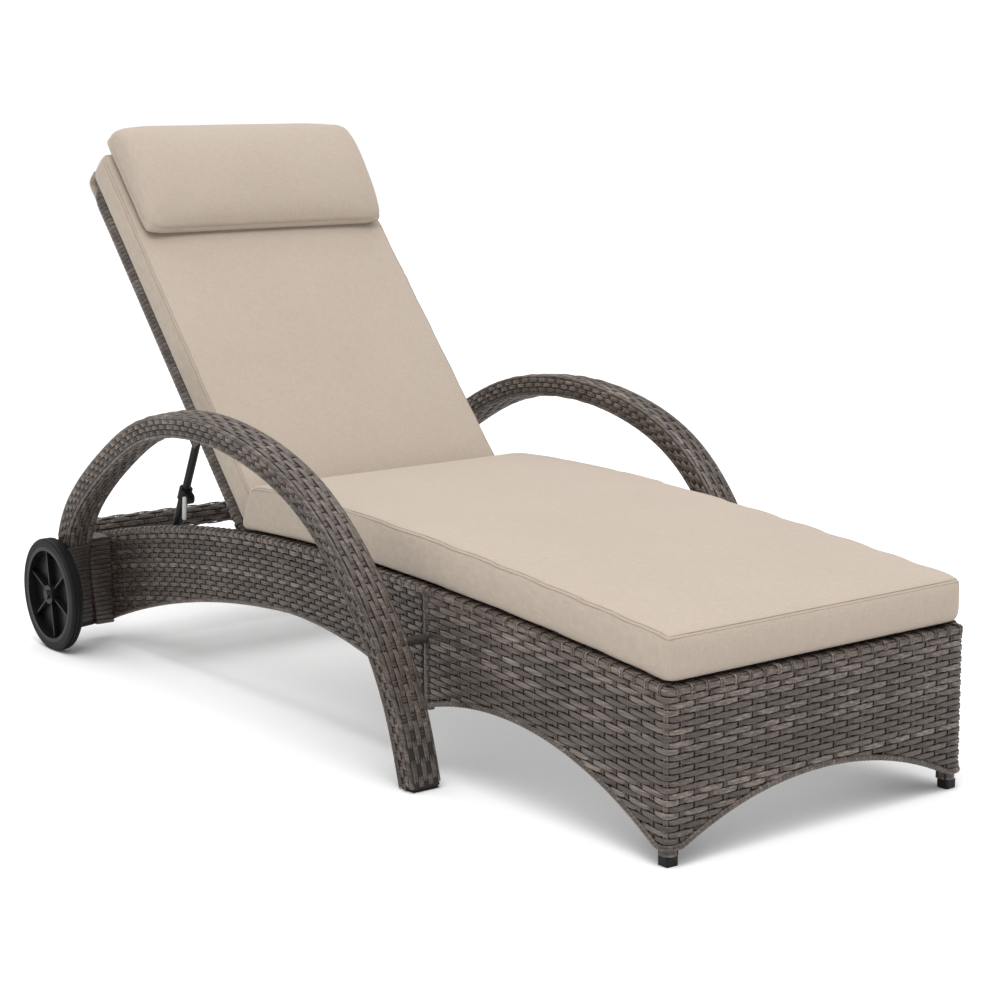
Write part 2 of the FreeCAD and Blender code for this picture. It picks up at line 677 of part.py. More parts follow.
def strut_brackets():
    """Slotted fork under each rail; the strut's pin runs in its slot as the backrest moves."""
    up, below = size("strut_up"), -size("strut_below")
    pin = size("strut_pin_radius")
    ear = [(up - 20, -17.3), (up + 30, -17.3), (up + 28, below - 12), (up - 16, below - 12)]
    for name, sign in SIDES:
        parts = []
        for index, inner in enumerate(("Dims.rail_x - 12.5", "Dims.rail_x + 8.5")):
            edges = polygon(ear) + slot(up, below, -6.3, -1.5, 12.5, pin + 1.6)
            parts.append(slab("strut_ear_%s_%d" % (name, index), edges, side_x(sign, inner, "4"), "4",
                              BACK_FRAME, kept=False))
        group = doc.addObject("Part::Compound", "strut_bracket_" + name)
        group.Links = parts
        keep(group, "strut_bracket_" + name)


# ---------------------------------------------------------------- struts

def strut_frame():
    """Frame whose Y axis runs from the lower pivot to the upper one at rest."""
    return ("0", "Dims.strut_bar_y - Dims.origin_y", "Dims.strut_bar_z", "%.6f" % STRUT_ANGLE)


def strut(name, sign):
    """Outer tube on the strut bar, collar at its mouth, and the inner tube with its pin."""
    frame = strut_frame()
    gap = size("slide_gap")
    tube_top = size("tube_length")
    middle = side_x(sign, "Dims.rail_x", "0")

    tube = new_body("strut_tube_" + name, frame, middle)
    eye_ring = circle(0, 0, 15) + circle(0, 0, size("strut_bar_radius") + size("running_gap"))
    eye = new_sketch(tube, "YZ_Plane", eye_ring, "Eye")
    eye.AttachmentOffset = Placement(Vector(0, 0, -12.5), Rotation())
    add_pad(tube, eye, "25")
    barrel = new_sketch(tube, "XZ_Plane", circle(0, 0, size("tube_radius")), "Barrel")
    barrel.AttachmentOffset = Placement(Vector(0, 0, -tube_top), Rotation())
    add_pad(tube, barrel, "Dims.tube_length - 13")
    doc.recompute()
    bore = new_sketch(tube, "XZ_Plane", circle(0, 0, size("rod_radius") + gap), "Bore")
    bore.AttachmentOffset = Placement(Vector(0, 0, -tube_top), Rotation())
    cut = tube.newObject("PartDesign::Pocket", "BoreCut")
    cut.Profile = bore
    cut.Length = tube_top - 22
    cut.Reversed = True
    doc.recompute()
    tube.Tip = cut
    keep(tube, "strut_tube_" + name)

    collar = new_body("strut_collar_" + name, frame, middle)
    ring = new_sketch(collar, "XZ_Plane", circle(0, 0, 14) + circle(0, 0, size("tube_radius") + 0.1), "Ring")
    ring.AttachmentOffset = Placement(Vector(0, 0, -tube_top + 0.5), Rotation())
    add_pad(collar, ring, "26")
    keep(collar, "strut_collar_" + name)

    rod = new_body("strut_rod_" + name, frame, middle)
    shaft = new_sketch(rod, "XZ_Plane", circle(0, 0, size("rod_radius")), "Shaft")
    rod_foot = 162
    shaft.AttachmentOffset = Placement(Vector(0, 0, -(STRUT_LENGTH - 6)), Rotation())
    add_pad(rod, shaft, "%.3f" % (STRUT_LENGTH - 6 - rod_foot))
    head = new_sketch(rod, "YZ_Plane", circle(STRUT_LENGTH, 0, 11), "Head")
    head.AttachmentOffset = Placement(Vector(0, 0, -8), Rotation())
    add_pad(rod, head, "16")
    pin = new_sketch(rod, "YZ_Plane", circle(STRUT_LENGTH, 0, size("strut_pin_radius")), "Pin")
    pin.AttachmentOffset = Placement(Vector(0, 0, -14), Rotation())
    rod.Tip = add_pad(rod, pin, "28")
    keep(rod, "strut_rod_" + name)


def release_lever():
    """Knob on the collar of the left strut, and the grey lever that turns in it."""
    frame = strut_frame()
    top = size("tube_length")
    knob_y, knob_z = top - 14, 19
    left = side_x(-1, "Dims.rail_x - 8", "16")
    knob = [
        line(point(top - 26, 14.2), point(top - 2, 14.2)),
        line(point(top - 2, 14.2), point(top - 4, 24)),
        Part.Arc(point(top - 4, 24), point(top - 14, 29), point(top - 24, 24)),
        line(point(top - 24, 24), point(top - 26, 14.2)),
    ]
    slab("lever_housing", knob + circle(knob_y, knob_z, 3.05), left, "16", frame)
    reach, drop, wide = 36, 14, 5.5
    tip_y, tip_z = knob_y - reach, knob_z + drop
    lever = [
        line(point(knob_y, knob_z + wide), point(tip_y, tip_z + wide)),
        Part.Arc(point(tip_y, tip_z + wide), point(tip_y - wide, tip_z), point(tip_y, tip_z - wide)),
        line(point(tip_y, tip_z - wide), point(knob_y, knob_z - wide)),
        Part.Arc(point(knob_y, knob_z - wide), point(knob_y + wide, knob_z), point(knob_y, knob_z + wide)),
    ]
    plate = slab("lever_plate", lever, side_x(-1, "Dims.rail_x + 8.5", "4"), "4", frame, kept=False)
    stub = cylinder_x("lever_stub", knob_y, knob_z, 3, side_x(-1, "Dims.rail_x - 7", "16"), "16", frame,
                      kept=False)
    fused = doc.addObject("Part::MultiFuse", "release_lever")
    fused.Shapes = [plate, stub]
    keep(fused, "release_lever")


# ---------------------------------------------------------------- cushions

def cushions():
    """Plain solids in the space of the seat cushion, back cushion, its head flap and the pillow."""
    gap = size("soft_gap")
    deck = 3 + gap
    top = size("seat_height")
    front = size("seat_front")
    rear_low, rear_high = 1285.5, 1229
    start, middle = 20, 620
    foot = size("rim_foot")
    top_start = point(start, height(RIM, start) + top)
    top_middle = point(middle, height(RIM, middle) + (top + size("seat_height_rear")) / 2)
    top_end = point(rear_high, height(RIM, rear_high) + size("seat_height_rear"))
    seat = along(RIM, start, rear_low, deck)
    seat += [line(point(rear_low, height(RIM, rear_low) + deck), top_end)]
    seat += [Part.Arc(top_end, top_middle, top_start)]
    seat += [Part.Arc(top_start, point(front + 6, foot + top - 13), point(front, foot + top - 26))]
    seat += [line(point(front, foot + top - 26), point(front, foot + 26))]
    seat += [Part.Arc(point(front, foot + 26), point(front + 6, foot + 10),
                      point(start, height(RIM, start) + deck))]
    slab("seat_cushion", seat, "-Dims.seat_half", "2 * Dims.seat_half")

    low = size("rail_radius") + gap
    high = size("back_pad_top")
    pad_end = size("rail_top") + size("rail_radius") - 4
    back = [
        line(point(low / 1.5637, low), point(pad_end, low)),
        line(point(pad_end, low), point(pad_end, high - 24)),
        Part.Arc(point(pad_end, high - 24), point(pad_end - 7, high - 7), point(pad_end - 24, high)),
        line(point(pad_end - 24, high), point(high / 1.5637, high)),
        line(point(high / 1.5637, high), point(low / 1.5637, low)),
    ]
    slab("back_cushion", back, "-Dims.back_pad_half", "2 * Dims.back_pad_half", BACK_FRAME)

    outside = size("rail_top") + size("rail_radius")
    thick = 4
    flap = polygon([
        (outside + gap, low),
        (outside + gap + thick, low),
        (outside + gap + thick, -low - thick),
        (outside - 150, -low - thick),
        (outside - 150, -low),
        (outside + gap, -low),
    ])
    slab("head_flap", flap, "-Dims.back_pad_half + 12", "2 * Dims.back_pad_half - 24", BACK_FRAME)

    base = high + gap
    over, hang = pad_end + 8, high - 24
    pillow = [
        line(point(702, base), point(over, base)),
        line(point(over, base), point(over, hang)),
        line(point(over, hang), point(982, hang)),
        Part.Arc(point(982, hang), point(967, base + 29), point(905, base + 85)),
        Part.Arc(point(905, base + 85), point(800, base + 80), point(706, base + 46)),
        Part.Arc(point(706, base + 46), point(692, base + 20), point(702, base)),
    ]
    slab("pillow", pillow, "-Dims.pillow_half", "2 * Dims.pillow_half", BACK_FRAME)


# ---------------------------------------------------------------- assembly

foot_end()
cross_bars()
seat_deck()
for side_name, side_sign in SIDES:
    side_rail(side_name, side_sign)
    side_posts(side_name, side_sign)
    side_panels(side_name, side_sign)
    corner_leg(side_name, side_sign)
    foot_cap(side_name, side_sign)
    arm(side_name, side_sign)
    arm_foot(side_name, side_sign)
    wheel(side_name, side_sign)
    strut(side_name, side_sign)
arm_spacers()
axle_parts()
back_rails()
back_panel()
hinge_parts()
strut_brackets()
release_lever()
cushions()
doc.recompute()

for obj in doc.Objects:
    if "Invalid" in obj.State or "Error" in obj.State:
        raise RuntimeError("%s is %s" % (obj.Label, obj.State))
os.makedirs("parts", exist_ok=True)
for node in NODES:
    if node.Shape.isNull() or not node.Shape.isValid():
        raise RuntimeError("%s has no valid shape" % node.Label)
    node.Shape.exportStep("parts/%s.step" % node.Label)

whole = Part.makeCompound([node.Shape for node in NODES])
box = whole.BoundBox
print("sub-parts", len(NODES))
print("box", round(box.XMin, 2), round(box.XMax, 2), round(box.YMin, 2), round(box.YMax, 2),
      round(box.ZMin, 2), round(box.ZMax, 2))
print("strut length", round(STRUT_LENGTH, 2), "angle", round(STRUT_ANGLE, 3))
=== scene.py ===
import json
import math

import bpy
import numpy as np
from mathutils import Matrix, Vector
from mathutils.bvhtree import BVHTree


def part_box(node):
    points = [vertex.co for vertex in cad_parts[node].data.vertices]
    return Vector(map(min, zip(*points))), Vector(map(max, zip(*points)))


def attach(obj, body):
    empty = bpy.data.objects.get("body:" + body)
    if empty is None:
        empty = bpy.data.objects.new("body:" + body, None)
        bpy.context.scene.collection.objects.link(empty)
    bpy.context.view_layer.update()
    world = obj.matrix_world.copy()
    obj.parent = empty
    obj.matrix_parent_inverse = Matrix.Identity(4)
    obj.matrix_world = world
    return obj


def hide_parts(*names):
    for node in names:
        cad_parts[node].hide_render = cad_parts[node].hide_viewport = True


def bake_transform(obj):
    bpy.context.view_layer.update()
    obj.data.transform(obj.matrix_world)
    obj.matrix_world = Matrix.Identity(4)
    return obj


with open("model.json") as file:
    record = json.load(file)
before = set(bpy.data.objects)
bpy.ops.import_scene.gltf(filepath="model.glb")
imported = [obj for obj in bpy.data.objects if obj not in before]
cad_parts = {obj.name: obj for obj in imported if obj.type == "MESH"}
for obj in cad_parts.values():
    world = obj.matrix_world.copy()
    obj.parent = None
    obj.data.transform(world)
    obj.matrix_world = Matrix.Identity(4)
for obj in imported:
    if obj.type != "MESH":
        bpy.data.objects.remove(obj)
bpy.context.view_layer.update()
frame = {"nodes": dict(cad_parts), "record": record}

# Lengths are metres.  FOOT_Y is the foot end of the woven base in the row frame: lengths "from the
# foot end" are measured from it, as in the CAD.
FOOT_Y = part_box("foot_panel")[0].y
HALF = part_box("side_panel_rear_right")[1].x
RNG = np.random.default_rng(7)

HINGE = np.array([0.0, FOOT_Y + 1.308, 0.303])
BACK_ANGLE = math.radians(48.0)
SEAM_ANGLE = math.radians(113.5)


# ---- base profile

def arc(points):
    """Height function of the arc through three (y, z) points."""
    (y1, z1), (y2, z2), (y3, z3) = points
    d = 2 * (y1 * (z2 - z3) + y2 * (z3 - z1) + y3 * (z1 - z2))
    s1, s2, s3 = y1 ** 2 + z1 ** 2, y2 ** 2 + z2 ** 2, y3 ** 2 + z3 ** 2
    yc = (s1 * (z2 - z3) + s2 * (z3 - z1) + s3 * (z1 - z2)) / d
    zc = (s1 * (y3 - y2) + s2 * (y1 - y3) + s3 * (y2 - y1)) / d
    r2 = (y1 - yc) ** 2 + (z1 - zc) ** 2
    return lambda y: zc + np.sqrt(np.maximum(r2 - (y - yc) ** 2, 0))


RIM_FRONT = arc([(0, 0.283), (0.5, 0.322), (1.0, 0.337)])
RIM_REAR = arc([(1.0, 0.337), (1.48, 0.305), (1.903, 0.226)])
ARCH_FRONT = arc([(0.024, 0.028), (0.33, 0.141), (0.632, 0.118)])
ARCH_MIDDLE = arc([(0.65, 0.112), (0.829, 0.169), (1.1, 0.199)])
ARCH_REAR = arc([(1.1, 0.199), (1.5, 0.148), (1.903, 0.028)])
ARCH_FOOT = arc([(-0.300, 0.028), (0, 0.100), (0.300, 0.028)])


def rim(y):
    y = np.asarray(y, float)
    return np.where(y < 1.0, RIM_FRONT(np.maximum(y, 0)), RIM_REAR(y))


def arch_side(y):
    """Bottom edge of the woven side, from the foot end."""
    y = np.asarray(y, float)
    front = np.where(y < 0.024, 0.028, ARCH_FRONT(y))
    rear = np.where(y < 1.1, ARCH_MIDDLE(y), ARCH_REAR(y))
    return np.where(y < 0.641, front, rear)


def arch_foot(x):
    x = np.asarray(x, float)
    return np.where(np.abs(x) > 0.300, 0.028, ARCH_FOOT(x))


# ---- meshes

def make_object(name, verts, faces, material, tones=None):
    mesh = bpy.data.meshes.new(name)
    mesh.from_pydata(np.asarray(verts, float).tolist(), [], [list(map(int, f)) for f in faces])
    mesh.update()
    mesh.polygons.foreach_set("use_smooth", [True] * len(mesh.polygons))
    if tones is not None:
        attribute = mesh.attributes.new("tone", "FLOAT", "POINT")
        attribute.data.foreach_set("value", np.asarray(tones, np.float32))
    ob = bpy.data.objects.new(name, mesh)
    bpy.context.scene.collection.objects.link(ob)
    mesh.materials.append(material)
    return ob


def unit(vectors):
    return vectors / (np.linalg.norm(vectors, axis=-1, keepdims=True) + 1e-12)


def run_length(path):
    """Distance along a path at each of its points."""
    return np.concatenate([[0], np.cumsum(np.linalg.norm(np.diff(path, axis=0), axis=1))])


def arc(cx, cy, r, turn):
    return np.stack([cx + r * np.cos(turn), cy + r * np.sin(turn)], 1)


def divided(path, spacing, closed=False):
    """A path with points added, about a spacing apart."""
    dense = []
    for a, b in zip(path, np.roll(path, -1, 0) if closed else path[1:]):
        count = max(1, int(np.linalg.norm(b - a) / spacing))
        dense.append(a + (b - a) * np.arange(count)[:, None] / count)
    return np.concatenate(dense if closed else dense + [path[-1:]])


def slab(rows, columns):
    """Faces of a thin closed sheet: two layers of rows x columns points and the edges between them."""
    size = rows * columns
    faces = []
    for a in (i * columns + j for i in range(rows - 1) for j in range(columns - 1)):
        b, c, d = a + 1, a + columns + 1, a + columns
        faces += [[a, b, c, d], [size + a, size + d, size + c, size + b]]
    last = (rows - 1) * columns
    for a in range(0, last, columns):
        b, c, d = a + columns, a + columns - 1, a + 2 * columns - 1
        faces += [[a, b, size + b, size + a], [size + c, size + d, d, c]]
    for a in range(columns - 1):
        b = last + a
        faces += [[a, size + a, size + a + 1, a + 1], [b + 1, size + b + 1, size + b, b]]
    return faces


class Pile:
    """Collects many swept strands into one mesh."""

    def __init__(self):
        self.verts, self.faces, self.tones, self.count = [], [], [], 0

    def add(self, verts, faces, tone):
        self.verts.append(verts)
        self.faces.append(np.asarray(faces, int) + self.count)
        self.tones.append(np.broadcast_to(tone, (len(verts),)))
        self.count += len(verts)

    def sweep(self, path, out, profile, tone=None, closed=False):
        """Sweeps a closed profile of (across, outward) points along a path with outward normals."""
        path = np.asarray(path, float)
        n = len(path)
        if n < 2:
            return
        ahead = unit(np.roll(path, -1, 0) - np.roll(path, 1, 0) if closed else np.gradient(path, axis=0))
        across = unit(np.cross(ahead, np.broadcast_to(np.asarray(out, float), path.shape)))
        out = np.cross(across, ahead)
        profile = np.asarray(profile, float)
        k = len(profile)
        verts = (path[:, None, :] + profile[None, :, :1] * across[:, None, :]
                 + profile[None, :, 1:] * out[:, None, :]).reshape(-1, 3)
        i = np.arange(n if closed else n - 1)[:, None]
        j = np.arange(k)[None, :]
        a, b = i * k + j, i * k + (j + 1) % k
        c, d = ((i + 1) % n) * k + (j + 1) % k, ((i + 1) % n) * k + j
        base = self.count
        self.add(verts, np.stack([a, b, c, d], -1).reshape(-1, 4), RNG.random() if tone is None else tone)
        if not closed:
            self.cap(base, k, -1)
            self.cap(base + (n - 1) * k, k, 1)

    def cap(self, first, count, way):
        """Closes a ring of points with quads, and a triangle where their number is odd."""
        half = count // 2
        quads = [[first + q, first + q + 1, first + count - 2 - q, first + count - 1 - q][::way]
                 for q in range(half - 1)]
        self.faces.append(np.asarray(quads, int))
        if count % 2:
            middle = first + half
            self.faces.append(np.asarray([[middle - 1, middle, middle + 1][::way]], int))

    def build(self, name, material):
        faces = [f for block in self.faces for f in block.tolist()]
        return make_object(name, np.concatenate(self.verts), faces, material, tones=np.concatenate(self.tones))


def grooved(width, height, depth=0.45):
    """Profile of a flat strand with two ridges and a groove along its middle."""
    w, h = width / 2, height
    return [(-w, -h * 0.5), (-w * 0.93, h * 0.35), (-w * 0.5, h), (0, h * (1 - depth)),
            (w * 0.5, h), (w * 0.93, h * 0.35), (w, -h * 0.5)]


def oval(width, height, count=6):
    """Profile of a round or flattened strand, as (across, outward) points."""
    turn = np.linspace(0, 2 * math.pi, count, endpoint=False) + math.pi / count
    return np.stack([np.cos(turn) * width / 2, np.sin(turn) * height], 1)


# Upright stakes stand STAKE apart, and the rows of flat strands ROW.  A strand stands LIFT proud of the
# surface.  Near a stake it dips behind it: DIP_LIFT is its height, in lifts, at the distances in DIP.
STAKE, REAR_STAKE = 0.030, 0.022
ROW = 0.0102
LIFT = 0.0019
ROW_PROFILE = grooved(0.0093, 0.0019, 0.75)
DIP = (0.0, 0.0052, 0.0085, 0.0130)
DIP_LIFT = (-1.3, -1.1, -0.10, 0.70, 1.0, 1.1)


def runs(live):
    """Start and end of each run of true values."""
    edges = np.flatnonzero(np.diff(np.concatenate([[0], live.astype(int), [0]])))
    return [(a, b) for a, b in zip(edges[::2], edges[1::2]) if b - a > 2]


def everywhere(s, d):
    return np.ones(len(s), bool)


def weave(pile, at, s_range, d_range, keep=everywhere, stake=STAKE, row=ROW, stakes=True):
    """Plain weave over a surface: long floats that dip behind every second stake, shifted in each row.

    at(s, d) gives points and outward normals.  Rows run along s and are spaced in d.  keep(s, d) says where
    there is weave at all.
    """
    s0, s1 = s_range
    d0, d1 = d_range
    narrow = min(1.0, stake / STAKE * 1.4)
    knots = np.array([k * narrow for k in DIP] + [stake * 0.8, stake])
    first = math.floor(s0 / stake) - 2
    last = math.ceil(s1 / stake) + 2
    for r in range(int((d1 - d0) / row + 1e-6)):
        d = d0 + (r + 0.5) * row
        dips = stake * np.array([k for k in range(first, last) if (k + r) % 2 == 0])
        reach = knots if stake > 0.02 else knots[[0, 1, 2, 3, 5]]
        s = (dips[:, None] + np.concatenate([-reach[::-1], reach[1:-1]])[None, :]).ravel()
        s = s[(s > s0) & (s < s1)]
        s = np.concatenate([[s0], s[(s > s0 + 0.0015) & (s < s1 - 0.0015)], [s1]])
        t = np.abs(s[:, None] - dips[None, :]).min(1)
        points, out = at(s, np.full_like(s, d))
        points = points + out * (LIFT * np.interp(t, knots, DIP_LIFT))[:, None]
        for a, b in runs(keep(s, np.full_like(s, d))):
            pile.sweep(points[a:b], out[a:b], ROW_PROFILE)
    if not stakes:
        return
    profile = grooved(0.0086 * narrow, 0.0014, 1.5)
    d = np.arange(d0, d1 + row / 4, row / 2)
    for k in range(math.ceil(s0 / stake), math.floor(s1 / stake) + 1):
        s = np.full_like(d, k * stake)
        points, out = at(s, d)
        offset = -0.0005 + 0.0018 * np.cos(math.pi * ((d - d0) / row - 0.5) + math.pi * k)
        points = points + out * offset[:, None]
        for a, b in runs(keep(s, d)):
            pile.sweep(points[a:b], out[a:b], profile, tone=0.6 * RNG.random())


def wrapped(pile, path, radius, pitch, ridge, around, step, normal):
    """Tube wound with a flat strand: the wall rises over each turn of the winding."""
    path = np.asarray(path, float)
    length = run_length(path)
    count = max(3, int(length[-1] / step))
    s = np.linspace(0, length[-1], count)
    p = np.stack([np.interp(s, length, path[:, i]) for i in range(3)], 1)
    ahead = unit(np.gradient(p, axis=0))
    side = unit(np.cross(ahead, np.asarray(normal, float)))
    up = np.cross(side, ahead)
    turn = np.linspace(0, 2 * math.pi, around, endpoint=False)
    phase = (s[:, None] - pitch * turn[None, :] / (2 * math.pi)) / pitch
    f = phase - np.floor(phase)
    bump = np.abs(np.sin(math.pi * f)) ** 0.5 - 0.35 * np.exp(-((f - 0.5) / 0.10) ** 2)
    r = radius - ridge + ridge * bump
    verts = (p[:, None, :] + r[..., None] * (np.cos(turn)[None, :, None] * side[:, None, :]
                                             + np.sin(turn)[None, :, None] * up[:, None, :])).reshape(-1, 3)
    i = np.arange(count - 1)[:, None]
    j = np.arange(around)[None, :]
    quads = np.stack([i * around + j, (i + 1) * around + j, (i + 1) * around + (j + 1) % around,
                      i * around + (j + 1) % around], -1).reshape(-1, 4)
    tones = np.modf(np.sin(np.floor(phase) * 12.9898) * 43758.5453)[0]
    base = pile.count
    # Each turn of the strand has a random tone. Points in the grooves between turns are pushed 1.0 lower, to
    # the darkest colour: painted shade in the grooves.
    pile.add(verts, quads, (np.abs(tones) * 0.7 + 0.15 - 1.0 * (bump < 0.55)).reshape(-1))
    pile.cap(base, around, 1)
    pile.cap(base + (count - 1) * around, around, -1)


def ring_path(corners, radius, per=5):
    """Closed path with outward normals, round a flat convex outline whose corners it rounds."""
    corners = np.asarray(corners, float)
    middle = corners.mean(0)
    points, normals = [], []
    n = len(corners)
    for i in range(n):
        here, before, after = corners[i], corners[i - 1], corners[(i + 1) % n]
        u, v = unit(before - here), unit(after - here)
        for f in np.linspace(0, 1, per):
            points.append(here + u * radius * (1 - f) ** 2 + v * radius * f ** 2)
            normals.append(unit(-(u * f + v * (1 - f))))
        step = after - here
        count = max(1, int((np.linalg.norm(step) - 2 * radius) / 0.02))
        side = unit(np.cross(np.cross(step, here - middle), step))
        for q in range(1, count):
            start, stop = here + v * radius, after - v * radius
            points.append(start + (stop - start) * q / count)
            normals.append(side)
    return np.array(points), np.array(normals)


def spline(points, count):
    """Smooth curve through points, by natural cubic interpolation on chord length."""
    p = np.asarray(points, float)
    t = run_length(p)
    n = len(p)
    h = np.diff(t)
    a = np.zeros((n, n))
    b = np.zeros((n, p.shape[1]))
    a[0, 0] = a[-1, -1] = 1
    for i in range(1, n - 1):
        a[i, i - 1], a[i, i], a[i, i + 1] = h[i - 1], 2 * (h[i - 1] + h[i]), h[i]
        b[i] = 3 * ((p[i + 1] - p[i]) / h[i] - (p[i] - p[i - 1]) / h[i - 1])
    c = np.linalg.solve(a, b)
    u = np.linspace(0, t[-1], count)
    k = np.clip(np.searchsorted(t, u, "right") - 1, 0, n - 2)
    x = (u - t[k])[:, None]
    hk = h[k][:, None]
    slope = (p[k + 1] - p[k]) / hk - hk * (2 * c[k] + c[k + 1]) / 3
    return p[k] + slope * x + c[k] * x ** 2 + (c[k + 1] - c[k]) / (3 * hk) * x ** 3


# ---- materials

def new_material(name):
    material = bpy.data.materials.new(name)
    material.use_nodes = True
    return material, material.node_tree, material.node_tree.nodes["Principled BSDF"]


def object_coords(tree):
    return tree.nodes.new("ShaderNodeTexCoord").outputs["Object"]


def noise(tree, vector, scale, detail=3.0, rough=0.55):
    node = tree.nodes.new("ShaderNodeTexNoise")
    node.inputs["Scale"].default_value = scale
    node.inputs["Detail"].default_value = detail
    node.inputs["Roughness"].default_value = rough
    tree.links.new(vector, node.inputs["Vector"])
    return node.outputs["Fac"]


def stretched(tree, coords, scale):
    node = tree.nodes.new("ShaderNodeMapping")
    node.inputs["Scale"].default_value = scale
    tree.links.new(coords, node.inputs["Vector"])
    return node.outputs["Vector"]


def ramp(tree, value, stops, target):
    """Turns a value into a colour through (place, colour) stops and feeds it to a socket."""
    node = tree.nodes.new("ShaderNodeValToRGB")
    elements = node.color_ramp.elements
    while len(elements) < len(stops):
        elements.new(0.5)
    for element, (place, colour) in zip(elements, stops):
        element.position = place
        element.color = (*colour, 1)
    tree.links.new(value, node.inputs["Fac"])
    tree.links.new(node.outputs["Color"], target)


def maths(tree, kind, *values):
    node = tree.nodes.new("ShaderNodeMath")
    node.operation = kind
    for socket, value in zip(node.inputs, values):
        if isinstance(value, (int, float)):
            socket.default_value = value
        else:
            tree.links.new(value, socket)
    return node.outputs[0]


def weighted(tree, *terms):
    """Sum of (value, weight) terms."""
    total = None
    for value, weight in terms:
        share = maths(tree, "MULTIPLY", value, weight)
        total = share if total is None else maths(tree, "ADD", total, share)
    return total


def add_bump(tree, shader, value, strength, distance):
    node = tree.nodes.new("ShaderNodeBump")
    node.inputs["Strength"].default_value = strength
    node.inputs["Distance"].default_value = distance
    tree.links.new(value, node.inputs["Height"])
    tree.links.new(node.outputs["Normal"], shader.inputs["Normal"])


def wicker_material(name, dark, mid, light, along):
    """Flat synthetic strands: each strand has its own tone, with fine streaks along it."""
    material, tree, shader = new_material(name)
    coords = object_coords(tree)
    tone = tree.nodes.new("ShaderNodeAttribute")
    tone.attribute_name = "tone"
    streak = noise(tree, stretched(tree, coords, along), 1.0)
    patch = noise(tree, coords, 9.0, 2.0)
    mixed = weighted(tree, (tone.outputs["Fac"], 0.22), (streak, 0.70), (patch, 0.22))
    ramp(tree, mixed, [(0.30, dark), (0.62, mid), (0.92, light)], shader.inputs["Base Color"])
    tree.links.new(maths(tree, "MULTIPLY_ADD", streak, 0.25, 0.30), shader.inputs["Roughness"])
    fine = noise(tree, stretched(tree, coords, [v * 2.5 for v in along]), 1.0, 2.0)
    add_bump(tree, shader, fine, 0.35, 0.0006)
    return material


def fabric_material(name, dark, light):
    """Plain woven upholstery: fine slubs both ways, slight blotches and a soft sheen."""
    material, tree, shader = new_material(name)
    coords = object_coords(tree)
    weft = noise(tree, stretched(tree, coords, (55, 900, 900)), 1.0, 3.0, 0.7)
    warp = noise(tree, stretched(tree, coords, (900, 55, 55)), 1.0, 3.0, 0.7)
    grain = noise(tree, coords, 700.0, 2.0, 0.6)
    blotch = noise(tree, coords, 5.0, 2.0)
    mixed = weighted(tree, (weft, 0.4), (warp, 0.4), (grain, 0.15), (blotch, 0.10))
    ramp(tree, mixed, [(0.36, dark), (0.70, light)], shader.inputs["Base Color"])
    shader.inputs["Roughness"].default_value = 0.92
    shader.inputs["Sheen Weight"].default_value = 0.15
    shader.inputs["Sheen Roughness"].default_value = 0.5
    shader.inputs["Specular IOR Level"].default_value = 0.2
    add_bump(tree, shader, mixed, 0.30, 0.0010)
    return material


def plain_material(name, dark, light, rough, metallic=0.0, bump=0.0004):
    """Moulded or painted surface with a faint grain."""
    material, tree, shader = new_material(name)
    coords = object_coords(tree)
    cloud = noise(tree, coords, 18.0)
    ramp(tree, cloud, [(0.3, dark), (0.7, light)], shader.inputs["Base Color"])
    tree.links.new(maths(tree, "MULTIPLY_ADD", cloud, 0.2, rough - 0.1), shader.inputs["Roughness"])
    shader.inputs["Metallic"].default_value = metallic
    add_bump(tree, shader, noise(tree, coords, 720.0, 2.0), 0.25, bump)
    return material


WICKER = wicker_material("wicker", (0.014, 0.0105, 0.0085), (0.092, 0.070, 0.057), (0.33, 0.275, 0.235),
                         along=(90, 18, 380))
THREAD = fabric_material("seam_thread", (0.270, 0.220, 0.175), (0.370, 0.308, 0.250))
# Near-black colour for the sheets behind the weave and for the CAD parts inside it: painted shade standing in
# for the dark hollow inside the base.
PAINTED_SHADE = plain_material("wicker_painted_shade", (0.010, 0.008, 0.007), (0.022, 0.018, 0.016), 0.8)
FABRIC = fabric_material("cushion_fabric", (0.352, 0.291, 0.236), (0.462, 0.392, 0.326))
FRAME_PAINT = plain_material("frame_paint", (0.035, 0.029, 0.025), (0.055, 0.046, 0.040), 0.5)
BLACK = plain_material("black_plastic", (0.004, 0.004, 0.004), (0.009, 0.009, 0.009), 0.42, bump=0.0002)
RUBBER = plain_material("tyre_rubber", (0.004, 0.004, 0.004), (0.008, 0.008, 0.008), 0.62)
STEEL = plain_material("bare_steel", (0.42, 0.42, 0.42), (0.55, 0.55, 0.55), 0.35, metallic=1.0, bump=0.0001)
STRUT_PAINT = plain_material("strut_paint", (0.007, 0.007, 0.007), (0.013, 0.0125, 0.012), 0.38, bump=0.0001)
LEVER_GREY = plain_material("lever_grey", (0.50, 0.50, 0.49), (0.60, 0.60, 0.59), 0.45, bump=0.0002)

# The CAD wicker parts, which sit inside the weave, take the near-black painted-shade colour.
FINISH = {
    "wicker": PAINTED_SHADE, "cushion": FABRIC, "black_plastic": BLACK, "tyre": RUBBER, "steel": STEEL,
    "strut": STRUT_PAINT, "lever": LEVER_GREY, "frame": FRAME_PAINT,
}
for slot_material in (BLACK, RUBBER, STRUT_PAINT):
    slot_material.node_tree.nodes["Principled BSDF"].inputs["Specular IOR Level"].default_value = 0.20
for part in frame["record"]["subparts"]:
    node = frame["nodes"][part["node"]]
    if not node.material_slots:
        node.data.materials.append(None)
    for place in node.material_slots:
        place.material = BLACK if part["node"] == "axle_caps" else FINISH[part["material_slot"]]


def settle(ob, body, slot, *nodes):
    """Fixes a finished piece to its body and hides the CAD nodes it stands for."""
    if body:
        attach(ob, body)
    if nodes:
        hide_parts(*nodes)
    return ob


# ---- woven base

CORNER = 0.014


